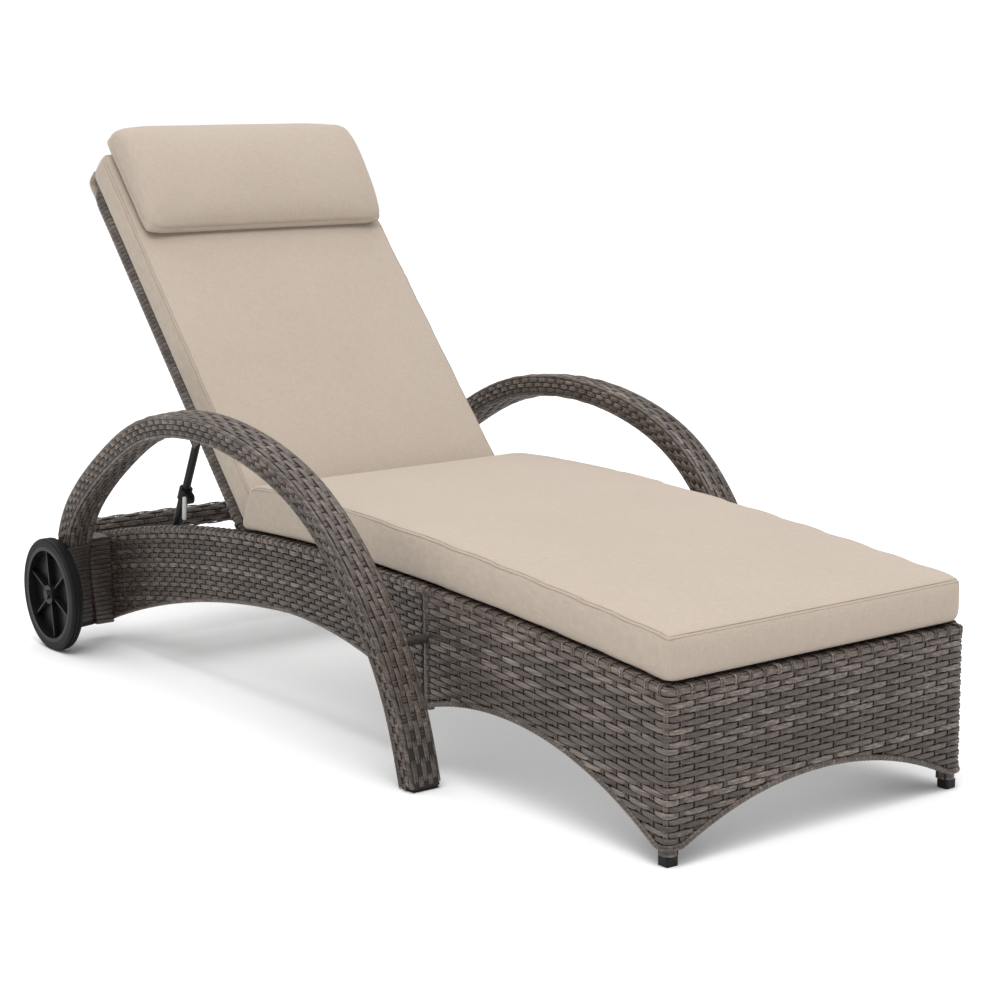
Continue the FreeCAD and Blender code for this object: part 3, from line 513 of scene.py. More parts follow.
def perimeter(s):
    """Plan point and outward normal at s along the front of the base.

    s runs from the left side, round the left corner, across the foot end and up the right side; s = 0 is
    the middle of the foot end.
    """
    s = np.asarray(s, float)
    side = np.sign(s) + (s == 0)
    a = np.abs(s)
    flat = HALF - CORNER
    bend = CORNER * math.pi / 2
    turn = np.clip((a - flat) / CORNER, 0, math.pi / 2)
    x = np.where(a < flat, a, flat + CORNER * np.sin(turn))
    y = np.where(a < flat + bend, CORNER * (1 - np.cos(turn)), CORNER + a - flat - bend)
    nx, ny = np.sin(turn), -np.cos(turn)
    return x * side, y, nx * side, ny


def front_at(s, d):
    x, y, nx, ny = perimeter(s)
    z = rim(np.where(np.abs(s) < HALF, 0, y)) - d
    return np.stack([x, y + FOOT_Y, z], 1), np.stack([nx, ny, np.zeros_like(nx)], 1)


def front_bottom(s):
    x, y, _, _ = perimeter(s)
    return np.where(np.abs(s) < HALF - CORNER, arch_foot(x), arch_side(y))


S_END = HALF - CORNER + CORNER * math.pi / 2 + 0.632 - CORNER


def shade_skin(pile, at, bottom, s_values, inside=0.0022, thick=0.0012):
    """Thin near-black sheet behind the strands, from just under the rim to the bottom edge: painted shade that
    darkens the gaps in the weave.
    """
    s = np.asarray(s_values, float)
    rows, top_drop = 7, 0.003
    low = bottom(s) + 0.002
    shells = []
    for depth in (inside, inside + thick):
        for q in range(rows):
            top, out = at(s, np.full_like(s, top_drop))
            points = top - out * depth
            points[:, 2] = top[:, 2] + (low - top[:, 2]) * q / (rows - 1)
            shells.append(points)
    pile.add(np.concatenate(shells), [face[::-1] for face in slab(rows, len(s))], 0.0)


def edge_band(pile, at, s_range, spacing=STAKE, insets=(0.005, 0.0148, 0.0246), reach=0.0225):
    """Bound rim: a flat strand along the top edge, more on top of the rim, and pairs of bindings over them.

    insets are how far in the strands on top lie, and reach is how far in the bindings go.
    """
    s = np.arange(s_range[0], s_range[1], 0.006)
    points, out = at(s, np.full_like(s, 0.0052))
    pile.sweep(points + out * 0.0014, out, grooved(0.0102, 0.0019, 0.25))
    points, out = at(s, np.full_like(s, -0.0005))
    up = np.array([0, 0, 1.0])
    for inset in insets:
        pile.sweep(points - out * inset, up, grooved(0.0098, 0.0018, 0.25))
    for place in np.arange(s_range[0] + spacing / 2, s_range[1] - 0.004, spacing):
        for shift in (-0.0026, 0.0026):
            one = np.array([place + shift])
            (face,), (o,) = at(one, np.array([0.0115]))
            (top,), _ = at(one, np.array([-0.0030]))
            lift = o * 0.0036
            hook = np.array([face + lift * 0.4, face + lift + up * 0.002, top + lift - up * 0.0025,
                             top + lift * 0.1 + up * 0.0004, top - o * (reach - 0.0025) + up * 0.0002,
                             top - o * reach - up * 0.004])
            pile.sweep(hook, np.array([o, o, o + up * 0.6, o * 0.4 + up, up, -o]), oval(0.0046, 0.0011))


# A tube wound with a strand, for the lower edges of the skins and the rear uprights.
EDGE_WRAP = dict(pitch=0.0085, ridge=0.0009, around=10, step=0.0022)


def build_front():
    """Front of the base: both sides as far as the arm legs and the foot end, woven as one wrap."""
    pile = Pile()
    weave(pile, front_at, (-S_END + 0.002, S_END - 0.002), (0.0112, 0.266),
          lambda s, d: front_at(s, d)[0][:, 2] > front_bottom(s) + 0.006)
    edge_band(pile, front_at, (-S_END, S_END))
    s = np.arange(-S_END, S_END, 0.006)
    low, out = front_at(s, np.zeros_like(s))
    low[:, 2] = front_bottom(s) + 0.0045
    wrapped(pile, low + out * 0.0008, 0.0055, normal=(0, 0, 1), **EDGE_WRAP)
    for sign in (-1, 1):
        stub = np.array([[sign * 0.3135, FOOT_Y + 0.0165, z] for z in (0.0160, 0.0340)])
        wrapped(pile, stub, 0.0145, pitch=0.0065, ridge=0.0010, around=18, step=0.0010, normal=(0, 1, 0))
    strands = pile.build("weave_front", WICKER)
    # Near-black sheet behind the weave: painted shade seen through its gaps.
    shade_sheet = Pile()
    shade_skin(shade_sheet, front_at, front_bottom, np.arange(-S_END, S_END + 0.001, 0.012))
    settle(strands, "base", "wicker", "side_panel_front_left", "side_panel_front_right", "foot_panel")
    settle(shade_sheet.build("weave_front_shade_sheet", PAINTED_SHADE), "base", "wicker")


def side_at(sign, inner=False):
    """Outer or inner face of one side, as a function of length from the foot end and depth below the rim."""
    face = HALF - (0.008 if inner else 0.0)
    direction = -sign if inner else sign

    def at(s, d):
        s = np.asarray(s, float)
        return (np.stack([np.full_like(s, sign * face), s + FOOT_Y, rim(s) - d], 1),
                np.tile([direction, 0, 0], (len(s), 1)).astype(float))
    return at


# Middle line of the arms as (length from the foot end, height).  ARM_X is their inner face at the floor.
# Below ARM_SEAM the rear leg is wound with level rings instead of woven.
ARM_LINE = [(0.566, -0.014), (0.597, 0.155), (0.686, 0.327), (0.838, 0.473), (1.000, 0.537), (1.235, 0.561),
            (1.440, 0.524), (1.586, 0.453), (1.724, 0.364), (1.808, 0.284), (1.849, 0.205), (1.862, 0.120),
            (1.866, 0.045)]
ARM_X, ARM_WIDTH, ARM_THICK, ARM_LEAN = 0.3675, 0.059, 0.040, math.radians(4.8)
ARM_SEAM = 0.238


def build_rear(name, sign):
    """One side behind the arm leg, with the woven block that joins it to the rear leg of the arm."""
    pile = Pile()
    at = side_at(sign)
    start, end = 0.650, 1.899
    keep = lambda s, d: (rim(s) - d > arch_side(s) + 0.006)
    weave(pile, at, (start, end), (0.0112, 0.215), keep, stake=REAR_STAKE)
    edge_band(pile, at, (start - 0.018, end), spacing=REAR_STAKE, insets=(0.005, 0.0148), reach=0.0186)
    weave(pile, side_at(sign, inner=True), (1.250, end), (0.002, 0.215), keep, stakes=False)
    s = np.arange(start, end, 0.006)
    low, out = at(s, np.zeros_like(s))
    low[:, 2] = arch_side(s) + 0.0045
    wrapped(pile, low - out * 0.003, 0.0062, normal=(0, 0, 1), **EDGE_WRAP)

    def upright(y, inset, drop, radius, **wrap):
        x = sign * (HALF - inset)
        ends = [[x, FOOT_Y + y, arch_side(y) + 0.004], [x, FOOT_Y + y, rim(y) - drop]]
        wrapped(pile, np.array(ends, float), radius, normal=(0, 1, 0), **wrap)
    upright(end, 0.003, 0.004, 0.0065, **EDGE_WRAP)
    upright(0.641, 0.005, 0.003, 0.0092, pitch=0.0102, ridge=0.0012, around=14, step=0.0018)
    lean = math.tan(ARM_LEAN)
    near, front, back = HALF + 0.001, FOOT_Y + 1.8365, FOOT_Y + 1.9005
    # The rings and the lid of the rear block keep to the darkest quarter of the strand tones: painted shade on
    # the block between the side and the rear leg.
    for z in np.arange(0.0475, 0.2290, ROW):
        far = ARM_X + z * lean + 0.001
        path, out = ring_path([(sign * near, front, z), (sign * far, front, z),
                               (sign * far, back, z), (sign * near, back, z)], 0.006)
        pile.sweep(path, out, ROW_PROFILE, tone=0.25 * RNG.random(), closed=True)
    far = ARM_X + 0.2315 * lean
    for y in np.arange(front + 0.005, back - 0.003, ROW):
        lid = np.linspace((sign * near, y, 0.2320), (sign * far, y, 0.2320), 5)
        pile.sweep(lid, (0, 0, 1), ROW_PROFILE, tone=0.25 * RNG.random())
    strands = pile.build("weave_rear_" + name, WICKER)
    # Near-black sheet behind the weave: painted shade seen through its gaps.
    shade_sheet = Pile()
    shade_skin(shade_sheet, at, arch_side, np.arange(start, end + 0.001, 0.012), inside=0.0025, thick=0.003)
    # Near-black slab under the rear block: painted shade.
    shade_sheet.add([[sign * x, y, z] for z in (0.0445, 0.0660) for y in (front + 0.001, back - 0.001)
              for x in (near + 0.001, ARM_X + 0.003)], slab(2, 2), 0.0)
    settle(strands, "base", "wicker", "side_panel_rear_" + name)
    settle(shade_sheet.build("weave_rear_shade_sheet_" + name, PAINTED_SHADE), "base", "wicker")


# ---- arms

def build_arm(name, sign):
    """Woven band: plain weave on the broad faces, long strands with paired bindings on the narrow ones."""
    line = spline(ARM_LINE, 900)
    line = line[line[:, 1] > 0.0085]
    length = run_length(line)

    def frame_at(s):
        """Point of the middle line at s, and the direction across the band there."""
        (y, z), (y0, z0), (y1, z1) = [[np.interp(s + ds, length, line[:, i]) for i in (0, 1)]
                                      for ds in (0, -0.004, 0.004)]
        norm = np.hypot(y1 - y0, z1 - z0) + 1e-9
        return y, z, (z0 - z1) / norm, (y1 - y0) / norm

    def place(s, x, off):
        """Point of the band, leant outward about its foot: x across it, off from its middle line."""
        y, z, ny, nz = frame_at(s)
        y, z = y + ny * off, z + nz * off
        c, sn = math.cos(ARM_LEAN), math.sin(ARM_LEAN)
        return np.stack([sign * (ARM_X + x * c + z * sn), y + FOOT_Y, -x * sn + z * c], -1)

    def face(kind):
        """Maps (s, d) to a face; d runs across it from one edge."""
        def at(s, d):
            if kind in ("outer", "under"):
                way = 1 if kind == "outer" else -1
                base = place(s, d, half * way)
                ahead = place(s, d, (half + 0.01) * way)
            else:
                way = -1 if kind == "inner" else 1
                x = np.full_like(s, 0.0 if kind == "inner" else ARM_WIDTH)
                base = place(s, x, d - half)
                ahead = place(s, x + 0.01 * way, d - half)
            return base, unit(ahead - base)
        return at

    pile = Pile()
    half = ARM_THICK / 2
    rear = length[np.flatnonzero(line[:, 1] > ARM_SEAM)[-1]]
    ends = (0.001, rear)
    for kind in ("outer", "under"):
        weave(pile, face(kind), ends, (0.0052, 0.0538), row=0.00972)
    for kind in ("inner", "side"):
        weave(pile, face(kind), ends, (0.0045, 0.0355), stake=0.0150, row=0.0103)
    proud = 0.0004
    for s in np.arange(rear + 0.004, length[-1] - 0.004, 0.0100):
        corners = [place(s, x, way * (half + proud)) for x, way in (
            (-proud, -1), (ARM_WIDTH + proud, -1), (ARM_WIDTH + proud, 1), (-proud, 1))]
        path, out = ring_path(corners, 0.008)
        pile.sweep(path, out, ROW_PROFILE, tone=0.3 * RNG.random(), closed=True)
    s = np.arange(ends[0], ends[1], 0.007)
    inset = 0.0022
    for x in (inset, ARM_WIDTH - inset):
        for way in (-1, 1):
            edge = place(s, np.full_like(s, x), way * (half - inset))
            wrapped(pile, edge, 0.0042, pitch=0.0285, ridge=0.0004, around=8, step=0.006,
                    normal=(1, 0, 0.08 * sign))
    settle(pile.build("arm_weave_" + name, WICKER), "base", "wicker")


# ---- backrest

def back_point(x, u, n):
    """Row-frame point from backrest coordinates: x across, u up the back, n out of its face."""
    x, u, n = np.broadcast_arrays(np.asarray(x, float), np.asarray(u, float), np.asarray(n, float))
    c, s = math.cos(BACK_ANGLE), math.sin(BACK_ANGLE)
    return np.stack([x, HINGE[1] + u * c - n * s, HINGE[2] + u * s + n * c], -1)


BACK_NORMAL = np.array([0, -math.sin(BACK_ANGLE), math.cos(BACK_ANGLE)])
BACK_ALONG = np.array([0, math.cos(BACK_ANGLE), math.sin(BACK_ANGLE)])


def build_back_frame():
    """Wound tube round the backrest, crossed bindings at its lower ends, and the weave behind the cushion."""
    rail, top, bend = 0.288, 0.921, 0.060
    turn = np.linspace(0, math.pi / 2, 12)
    left = np.array([[-rail, 0.022], [-rail, top - bend]])
    corner = np.stack([-rail + bend * (1 - np.cos(turn)), top - bend + bend * np.sin(turn)], 1)
    path = np.concatenate([left, corner[1:]])
    path = np.concatenate([path, path[::-1] * (-1, 1)])
    pile = Pile()
    wrapped(pile, divided(back_point(path[:, 0], path[:, 1], 0), 0.01), 0.0182, pitch=0.0104, ridge=0.0020,
            around=20, step=0.0014, normal=BACK_NORMAL)
    t = np.linspace(0, 2 * math.pi, 26)[:-1]
    for sign in (-1, 1):
        for u0 in (0.030, 0.052, 0.074):
            for slant in (-1, 1):
                u = u0 + slant * 0.012 * np.cos(t)
                ring = back_point(sign * rail + 0.0185 * np.cos(t), u, 0.0185 * np.sin(t))
                pile.sweep(ring, ring - back_point(sign * rail, u, 0), grooved(0.0085, 0.0014), closed=True)
    tube = pile.build("back_frame_wrap", WICKER)
    settle(tube, "back", "wicker", "back_rail_left", "back_rail_right", "back_top_rail")

    pile = Pile()
    half = rail - 0.0175

    def rear_at(s, d):
        return back_point(s, 0.034 + d, 0.0012), np.tile(-BACK_NORMAL, (len(s), 1))

    def keep(s, d):
        bend_in = 0.043
        dx = np.maximum(np.abs(s) - (half - bend_in), 0)
        du = np.maximum(d - 0.824, 0)
        return dx ** 2 + du ** 2 < bend_in ** 2
    weave(pile, rear_at, (-half + 0.001, half - 0.001), (0.0, 0.866), keep)
    settle(pile.build("back_weave", WICKER), "back", "wicker")


def build_head_rail():
    """Weave round the rail across the head end; its CAD tube stays inside."""
    pile = Pile()
    radius, rows = 0.0203, 12
    row = 2 * math.pi * radius / rows

    def at(s, d):
        turn = d / radius
        out = np.stack([np.zeros_like(s), np.cos(turn), np.sin(turn)], 1)
        return np.stack([s, np.full_like(s, FOOT_Y + 1.9232), np.full_like(s, 0.236)], 1) + out * radius, out
    weave(pile, at, (-HALF, HALF), (0, rows * row + 1e-5), row=row)
    settle(pile.build("head_rail_weave", WICKER), "base", "wicker")


# ---- cushions

def loft(name, loops):
    """Closed fabric mesh through loops that all have the same number of points."""
    k = len(loops[0])
    verts = np.concatenate(loops)
    faces = []
    for i in range(len(loops) - 1):
        for j in range(k):
            faces.append([i * k + j, i * k + (j + 1) % k, (i + 1) * k + (j + 1) % k, (i + 1) * k + j])
    for start, way in ((0, -1), ((len(loops) - 1) * k, 1)):
        middle = len(verts)
        verts = np.concatenate([verts, verts[start:start + k].mean(0)[None]])
        faces += [[start + j, start + (j + 1) % k, middle][::way] for j in range(k)]
    return make_object(name, verts, faces, FABRIC)


def section(half, low, high, r_low, r_high):
    """Rounded rectangle of (x, height) points, anticlockwise from the bottom left."""
    bend = np.radians(np.linspace(0, 90, 5))
    corners = [(half - r_low, low + r_low, r_low, -90), (half - r_high, high - r_high, r_high, 0),
               (-half + r_high, high - r_high, r_high, 90), (-half + r_low, low + r_low, r_low, 180)]
    bends = [arc(cx, cz, r, math.radians(start) + bend) for cx, cz, r, start in corners]
    points = []
    for index, here in enumerate(bends):
        count = 14 if index % 2 else 4
        f = np.arange(1, count + 1)[:, None] / (count + 1)
        points += [here, here[-1] + (bends[(index + 1) % 4][0] - here[-1]) * f]
    return np.concatenate(points)


def values(items, name):
    """Reads one vector per item of a mesh."""
    out = np.empty(len(items) * 3)
    items.foreach_get(name, out)
    return out.reshape(-1, 3)


def assign(target, **settings):
    for key, value in settings.items():
        setattr(target, key, value)


def apply_modifier(ob, kind, **settings):
    bpy.context.view_layer.objects.active = ob
    modifier = ob.modifiers.new(kind, kind)
    assign(modifier, **settings)
    bpy.ops.object.modifier_apply(modifier=modifier.name)


def inflate(ob, voxel, pressure, cap, soften, pinned):
    """Remeshes a cushion, swells it with a short cloth run and softens it.

    No point moves further than cap, and pinned(points) says which points stay where they are.
    """
    scene = bpy.context.scene
    apply_modifier(ob, "REMESH", mode="VOXEL", voxel_size=voxel)
    start = values(ob.data.vertices, "co")
    group = ob.vertex_groups.new(name="held")
    group.add(np.flatnonzero(pinned(start)).tolist(), 1.0, "REPLACE")
    cloth = ob.modifiers.new("cloth", "CLOTH")
    assign(cloth.settings, quality=5, mass=0.3, tension_stiffness=15, compression_stiffness=15,
           shear_stiffness=5, bending_stiffness=0.5, use_pressure=True,
           uniform_pressure_force=pressure, vertex_group_mass="held")
    cloth.settings.effector_weights.gravity = 0
    cloth.collision_settings.use_collision = False
    assign(cloth.point_cache, frame_start=1, frame_end=20)
    for step in range(1, 21):
        scene.frame_set(step)
    evaluated = ob.evaluated_get(bpy.context.evaluated_depsgraph_get())
    shift = values(evaluated.data.vertices, "co") - start
    ob.modifiers.remove(cloth)
    size = np.linalg.norm(shift, axis=1)[:, None] + 1e-9
    shift *= np.minimum(1, cap * np.tanh(size / cap) / size)
    ob.data.vertices.foreach_set("co", (start + shift).reshape(-1))
    scene.frame_set(1)
    ob.data.update()
    apply_modifier(ob, "SMOOTH", factor=0.5, iterations=soften)
    apply_modifier(ob, "SUBSURF", levels=1)
    ob.data.polygons.foreach_set("use_smooth", [True] * len(ob.data.polygons))


def seam(name, ob, path, closed, radius=0.0009, gap=0.0052, sink=0.0003):
    """Twin-stitched seam: two fine cords side by side, laid on the cushion's surface along a path."""
    tree = BVHTree.FromObject(ob, bpy.context.evaluated_depsgraph_get())
    found = [tree.find_nearest(Vector(p)) for p in path]
    spots, normals = np.array([f[0] for f in found]), np.array([f[1] for f in found])
    for _ in range(3):
        for row in (normals, spots):
            mean = (np.roll(row, 1, 0) + 2 * row + np.roll(row, -1, 0)) / 4
            inner = slice(None) if closed else slice(1, -1)
            row[inner] = mean[inner]
    normals = unit(normals)
    ahead = unit(np.roll(spots, -1, 0) - np.roll(spots, 1, 0) if closed else np.gradient(spots, axis=0))
    across = np.cross(ahead, normals)
    pile = Pile()
    for shift in (-gap / 2, gap / 2):
        pile.sweep(spots + across * shift - normals * sink, normals, oval(radius * 1.7, radius, 8), tone=0.5,
                   closed=closed)
    return pile.build(name, THREAD)


def dent(ob, path, depth, width, closed):
    """Presses a fine groove into the cushion along a path, where the seam pulls the cover in."""
    co = values(ob.data.vertices, "co")
    normal = values(ob.data.vertices, "normal")
    nearest = np.full(len(co), 1e9)
    for a, b in zip(path, np.roll(path, -1, 0) if closed else path[1:]):
        d = b - a
        t = np.clip(((co - a) @ d) / (d @ d + 1e-12), 0, 1)
        nearest = np.minimum(nearest, np.linalg.norm(co - a - t[:, None] * d, axis=1))
    amount = depth * np.exp(-(nearest / width) ** 2)
    ob.data.vertices.foreach_set("co", (co - normal * amount[:, None]).reshape(-1))
    ob.data.update()


def edge_path(half, start, tip, r):
    """Up one side of a cushion, round the two corners at its tip and back, as (x, length) points."""
    way = 1 if tip > start else -1
    shoulder, step = tip - way * r, 0.006
    turn = np.linspace(0, math.pi / 2, 9)
    out = np.arange(start, shoulder, way * step)
    bend = np.stack([r * (1 - np.cos(turn)) - half, tip - way * r * (1 - np.sin(turn))], 1)
    across = np.arange(-half + r + 0.005, half - r, step)
    home = np.arange(shoulder - way * 0.005, start, -way * step)
    return np.concatenate([
        np.stack([np.full_like(out, -half), out], 1), bend, np.stack([across, np.full_like(across, tip)], 1),
        bend[::-1] * (-1, 1), np.stack([np.full_like(home, half), home], 1)])


def sew(ob, name, line, node):
    """Sews the upper edge of a cushion, bakes the placement of it and its seam into their meshes and hides the
    CAD cushion.
    """
    dent(ob, line, 0.0011, 0.0032, closed=False)
    cord = seam(name, ob, line, closed=False)
    for piece in (ob, cord):
        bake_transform(piece)
    settle(ob, None, "cushion", node)
    settle(cord, None, "cushion")


def seam_plane(height):
    """Length from the foot end where the plane between seat and back lies at a height above the floor."""
    return HINGE[1] - FOOT_Y + (height - HINGE[2]) / math.tan(SEAM_ANGLE)


# The seat's heights are above the rim.  The cushions are shaped SHRINK too small, and swell to size.
SEAT_HALF, SEAT_LOW, SEAT_FRONT = 0.331, 0.0040, -0.0040
FOOT_ROUND, JOIN_ROUND = 0.015, 0.016
SHRINK = 0.003
CUSHION_VOXEL = 0.0095
SEAM_IN = 0.0015
JOIN_GAP = 0.0008
JOIN_STEPS = (0.0, 0.001, 0.003, 0.006, 0.010, 0.016, 0.024, 0.036, 0.055, 0.08, 0.11)


def seat_high(y):
    """Top of the seat cushion above the rim; it is fuller towards the backrest."""
    f = np.clip(np.asarray(y, float) / 1.1, 0, 1)
    return 0.0880 + 0.0125 * f * f * (3 - 2 * f)


def rounding(radius, a):
    """How far a rounded edge is set back at a distance a from its end."""
    return radius - math.sqrt(max(radius ** 2 - max(radius - a, 0) ** 2, 0))


def seat_loops():
    """Cross-sections of the seat cushion from the foot end to the plane where it meets the back."""
    loops = []
    r_low, r_high = 0.017, 0.007
    low, high = SEAT_LOW + SHRINK * 0.3, float(seat_high(0))
    for a in [0.0, 0.0015, 0.004, 0.008, 0.013, 0.018, 0.024] + list(np.arange(0.04, 1.10, 0.02)):
        y = SEAT_FRONT + SHRINK + a
        pts = section(SEAT_HALF - SHRINK - rounding(FOOT_ROUND, a), low + rounding(r_low, a),
                      high - SHRINK - rounding(r_high, a), r_low * 0.9, r_high * 0.9)
        ys = np.full(len(pts), y)
        grow = (seat_high(y) - high) * np.clip((pts[:, 1] - SEAT_LOW) / (high - SEAT_LOW), 0, 1)
        loops.append(np.stack([pts[:, 0], ys + FOOT_Y, rim(np.maximum(ys, 0)) + pts[:, 1] + grow], 1))
    high = float(seat_high(1.2)) - SHRINK
    for a in JOIN_STEPS[::-1]:
        back = rounding(JOIN_ROUND, a)
        pts = section(SEAT_HALF - SHRINK - back, low, high - back, r_low * 0.9, r_high * 0.9)
        y = np.full(len(pts), 1.25)
        for _ in range(3):
            y = seam_plane(rim(y) + pts[:, 1]) - JOIN_GAP - a
        loops.append(np.stack([pts[:, 0], y + FOOT_Y, rim(y) + pts[:, 1]], 1))
    return loops


def build_seat():
    """Boxed seat cushion with a stitched upper edge, following the curve of the rim."""
    ob = loft("seat_pad", seat_loops())

    def pinned(co):
        y = co[:, 1] - FOOT_Y
        height = co[:, 2] - rim(np.maximum(y, 0))
        edge_x = np.abs(np.abs(co[:, 0]) - (SEAT_HALF - SHRINK)) < 0.006
        edge_y = np.abs(y - SEAT_FRONT - SHRINK) < 0.006
        top = np.abs(height - (seat_high(y) - SHRINK)) < 0.007
        return (height < 0.012) | (seam_plane(co[:, 2]) - y < 0.012) | (top & (edge_x | edge_y))
    inflate(ob, CUSHION_VOXEL, 2.6, 0.009, 5, pinned)
    end = float(seam_plane(rim(1.25) + seat_high(1.2))) - 0.014
    x, y = edge_path(SEAT_HALF - SEAM_IN, end, SEAT_FRONT + SEAM_IN, FOOT_ROUND).T
    sew(ob, "seat_seam", np.stack([x, y + FOOT_Y, rim(np.maximum(y, 0)) + seat_high(y) - 0.0025], 1),
        "seat_cushion")


BACK_HALF, BACK_LOW, BACK_HIGH, BACK_END = 0.309, 0.0180, 0.0910, 0.938
SPLIT = SEAM_ANGLE - BACK_ANGLE


def build_back_pad():
    """Boxed back cushion with a stitched upper edge, meeting the seat in the plane through the hinge."""
    r_low, r_high, r_end = 0.012, 0.007, 0.020
    length = BACK_END - SHRINK

    def face(n):
        return n / math.tan(SPLIT) + JOIN_GAP

    def loop(a, u_of, back=0.0):
        """Cross-section a short of the top end, with the end's edges rounded."""
        pts = section(BACK_HALF - SHRINK - rounding(r_end, a) - back,
                      BACK_LOW + SHRINK * 0.3 + rounding(r_low, a),
                      BACK_HIGH - SHRINK - rounding(r_high, a) - back, r_low * 0.9, r_high * 0.9)
        return back_point(pts[:, 0], u_of(pts[:, 1]), pts[:, 1])[::-1]
    loops = [loop(1.0, lambda n, a=a: face(n) + a, rounding(JOIN_ROUND, a)) for a in JOIN_STEPS]
    loops += [loop(1.0, lambda n, u=u: u) for u in np.arange(0.18, length - 0.03, 0.02)]
    loops += [loop(a, lambda n, a=a: length - a) for a in (0.024, 0.018, 0.013, 0.008, 0.004, 0.0015, 0.0)]
    ob = loft("back_pad", loops)

    def pinned(co):
        u, n = (co - HINGE) @ BACK_ALONG, (co - HINGE) @ BACK_NORMAL
        edge_x = np.abs(np.abs(co[:, 0]) - (BACK_HALF - SHRINK)) < 0.006
        edge_u = np.abs(u - length) < 0.006
        top = np.abs(n - (BACK_HIGH - SHRINK)) < 0.007
        return (n < BACK_LOW + 0.010) | (u - face(n) < 0.012) | (top & (edge_x | edge_u))
    inflate(ob, CUSHION_VOXEL, 2.6, 0.009, 5, pinned)
    x, u = edge_path(BACK_HALF - SEAM_IN, BACK_HIGH / math.tan(SPLIT) + 0.014, BACK_END - SEAM_IN, r_end).T
    sew(ob, "back_seam", back_point(x, u, BACK_HIGH - 0.0025), "back_cushion")


def build_pillow():
    """Boxed head pillow with rounded ends, lying on the back cushion and over its top end."""
    on_top = 0.0925
    centre, overhang = 0.84, 0.946
    smooth = np.array([
        (0.704, on_top), (0.80, on_top), (0.90, on_top), (0.940, on_top), (0.948, 0.086), (0.956, 0.073),
        (0.976, 0.070), (0.988, 0.080), (0.987, 0.096), (0.976, 0.120), (0.955, 0.144), (0.922, 0.162),
        (0.87, 0.168), (0.81, 0.164), (0.75, 0.149), (0.712, 0.133), (0.697, 0.118), (0.693, 0.104)])
    for _ in range(2):
        ahead = np.roll(smooth, -1, 0)
        smooth = np.stack([smooth * 0.75 + ahead * 0.25, smooth * 0.25 + ahead * 0.75], 1).reshape(-1, 2)
    half, r = 0.290, 0.028
    ends = np.array([0, 0.002, 0.006, 0.012, 0.02, 0.03, 0.045])
    loops = []
    for x in np.concatenate([ends - half, np.linspace(-0.2, 0.2, 15), half - ends[::-1]]):
        a = half - abs(x)
        k = 1 - math.sqrt(max(1 - max(1 - a / r, 0) ** 2, 0))
        tuck = np.clip(1 - a / 0.075, 0, 1) ** 1.5
        u, n = ((smooth - (centre, on_top)) * (1 - 0.045 * k, 1 - 0.26 * k) + (centre, on_top)).T
        n = np.where(smooth[:, 1] < on_top, smooth[:, 1] * (1 - k) + on_top * k, n)
        u = np.where(u > overhang, overhang + (u - overhang) * (1 - 0.85 * tuck), u)
        n = np.where(n < on_top, n + (on_top - n) * tuck, n)
        loops.append(back_point(x, u, n))
    ob = loft("pillow_pad", loops)
    inflate(ob, 0.006, 1.0, 0.003, 16, lambda co: (co - HINGE) @ BACK_NORMAL < 0.100)
    low, high, side, r = 0.699, 0.972, half - 0.006, 0.034
    turn = np.linspace(0, math.pi / 2, 10)
    path = np.concatenate([arc(cx, cu, r, start + turn) for cx, cu, start in (
        (-side + r, low + r, math.pi), (side - r, low + r, 1.5 * math.pi),
        (side - r, high - r, 0), (-side + r, high - r, 0.5 * math.pi))])
    x, u = divided(path, 0.006, closed=True).T
    line = back_point(x, u, np.interp(u, [0.69, 0.72, 0.94, 0.975], [0.112, 0.114, 0.116, 0.104]))
    tree = BVHTree.FromObject(ob, bpy.context.evaluated_depsgraph_get())
    line = np.array([tree.find_nearest(Vector(p))[0] for p in line])
    dent(ob, line, 0.0014, 0.004, closed=True)
    cord = seam("pillow_seam", ob, line, closed=True)
    settle(ob, "back", "cushion", "pillow")
    settle(cord, "back", "cushion")


def build_flap():
    """Fabric flap that hooks over the top of the backrest and holds the cushion."""
    line = spline([(0.9405, 0.016), (0.9415, 0.0), (0.9412, -0.012), (0.938, -0.0200), (0.930, -0.0235),
                   (0.910, -0.0235), (0.860, -0.0232), (0.800, -0.0230)], 40)
    half, thick = 0.292, 0.0022
    across = np.linspace(-half, half, 41)
    tangent = unit(np.gradient(line, axis=0))
    out = np.stack([-tangent[:, 1], tangent[:, 0]], 1)
    verts = []
    for layer in (0, 1):
        for i in range(len(line)):
            ripple = 0.0007 * np.sin(across * 55 + i * 0.25) * (i / len(line)) + 0.0004 * np.sin(across * 131)
            u, n = (line[i] + out[i] * (ripple - layer * thick)[:, None]).T
            verts.append(back_point(across, u, n))
    ob = make_object("head_flap_cloth", np.concatenate(verts), slab(len(line), len(across)), FABRIC)
    settle(ob, "back", "cushion", "head_flap")


# ---- studio

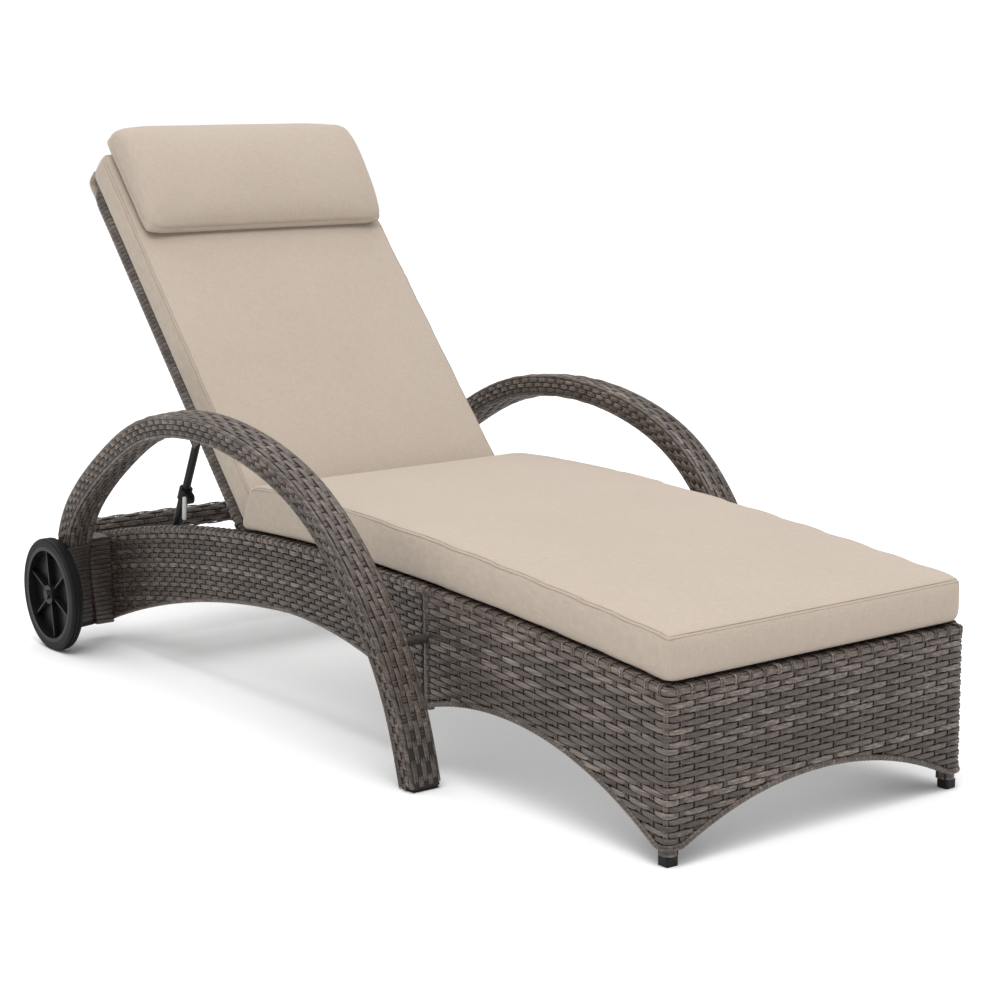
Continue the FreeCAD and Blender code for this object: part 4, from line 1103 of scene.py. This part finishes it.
def build_studio():
    """Pale floor, soft light from above, a weak light under the deck that lifts its shadow, and the camera."""
    world = bpy.data.worlds.new("studio")
    world.use_nodes = True
    tree = world.node_tree
    background = tree.nodes["Background"]
    height = tree.nodes.new("ShaderNodeSeparateXYZ")
    tree.links.new(tree.nodes.new("ShaderNodeTexCoord").outputs["Generated"], height.inputs[0])
    greys = [(0.0, 0.60), (0.11, 0.60), (0.26, 0.22), (0.52, 0.28), (0.78, 1.1)]
    ramp(tree, height.outputs["Z"], [(place, (grey,) * 3) for place, grey in greys], background.inputs["Color"])
    background.inputs["Strength"].default_value = 1.68
    bpy.context.scene.world = world
    bpy.context.scene.view_settings.view_transform = "Standard"
    material, _, shader = new_material("studio_floor")
    for socket, value in (("Base Color", (0.95, 0.95, 0.95, 1)), ("Roughness", 0.9),
                          ("Specular IOR Level", 0.1)):
        shader.inputs[socket].default_value = value
    corners = [(-14, -14, 0), (14, -14, 0), (14, 14, 0), (-14, 14, 0)]
    make_object("floor", corners, [[0, 1, 2, 3]], material)

    def area(name, place, target, power, width):
        data = bpy.data.lights.new(name, "AREA")
        data.energy = power
        data.size = width
        lamp = bpy.data.objects.new(name, data)
        lamp.location = place
        lamp.rotation_euler = (Vector(target) - Vector(place)).to_track_quat("-Z", "Y").to_euler()
        bpy.context.scene.collection.objects.link(lamp)
        return data
    area("key", (-1.3, -1.5, 4.2), (0, 0, 0.3), 63, 2.2)
    area("fill", (2.6, -3.0, 2.2), (0, 0, 0.3), 1.5, 3.0)
    area("rim_light", (0.5, 3.4, 2.8), (0, 0.3, 0.5), 12, 2.4)
    under = area("under_light", (0, FOOT_Y + 0.80, 0.090), (0, FOOT_Y + 0.80, 0), 1.15, 0.56)
    assign(under, shape="RECTANGLE", size_y=1.50)

    camera_data = bpy.data.cameras.new("camera")
    assign(camera_data, sensor_width=36, lens=79.9, shift_x=-0.0179, shift_y=-0.0101, clip_end=60)
    camera = bpy.data.objects.new("camera", camera_data)
    forward = Vector((0.592, 0.786, -0.178)).normalized()
    right = Vector((0.798, -0.603, -0.007))
    right = (right - forward * right.dot(forward)).normalized()
    up = right.cross(forward)
    turn = Matrix((right, up, -forward)).transposed()
    camera.matrix_world = Matrix.Translation((-2.462, -2.458 + FOOT_Y, 1.181)) @ turn.to_4x4()
    bpy.context.scene.collection.objects.link(camera)
    bpy.context.scene.camera = camera


# ---- build

build_studio()
build_front()
for side_name, side_sign in (("left", -1), ("right", 1)):
    build_rear(side_name, side_sign)
    build_arm(side_name, side_sign)
build_back_frame()
build_head_rail()
build_seat()
build_back_pad()
build_pillow()
build_flap()
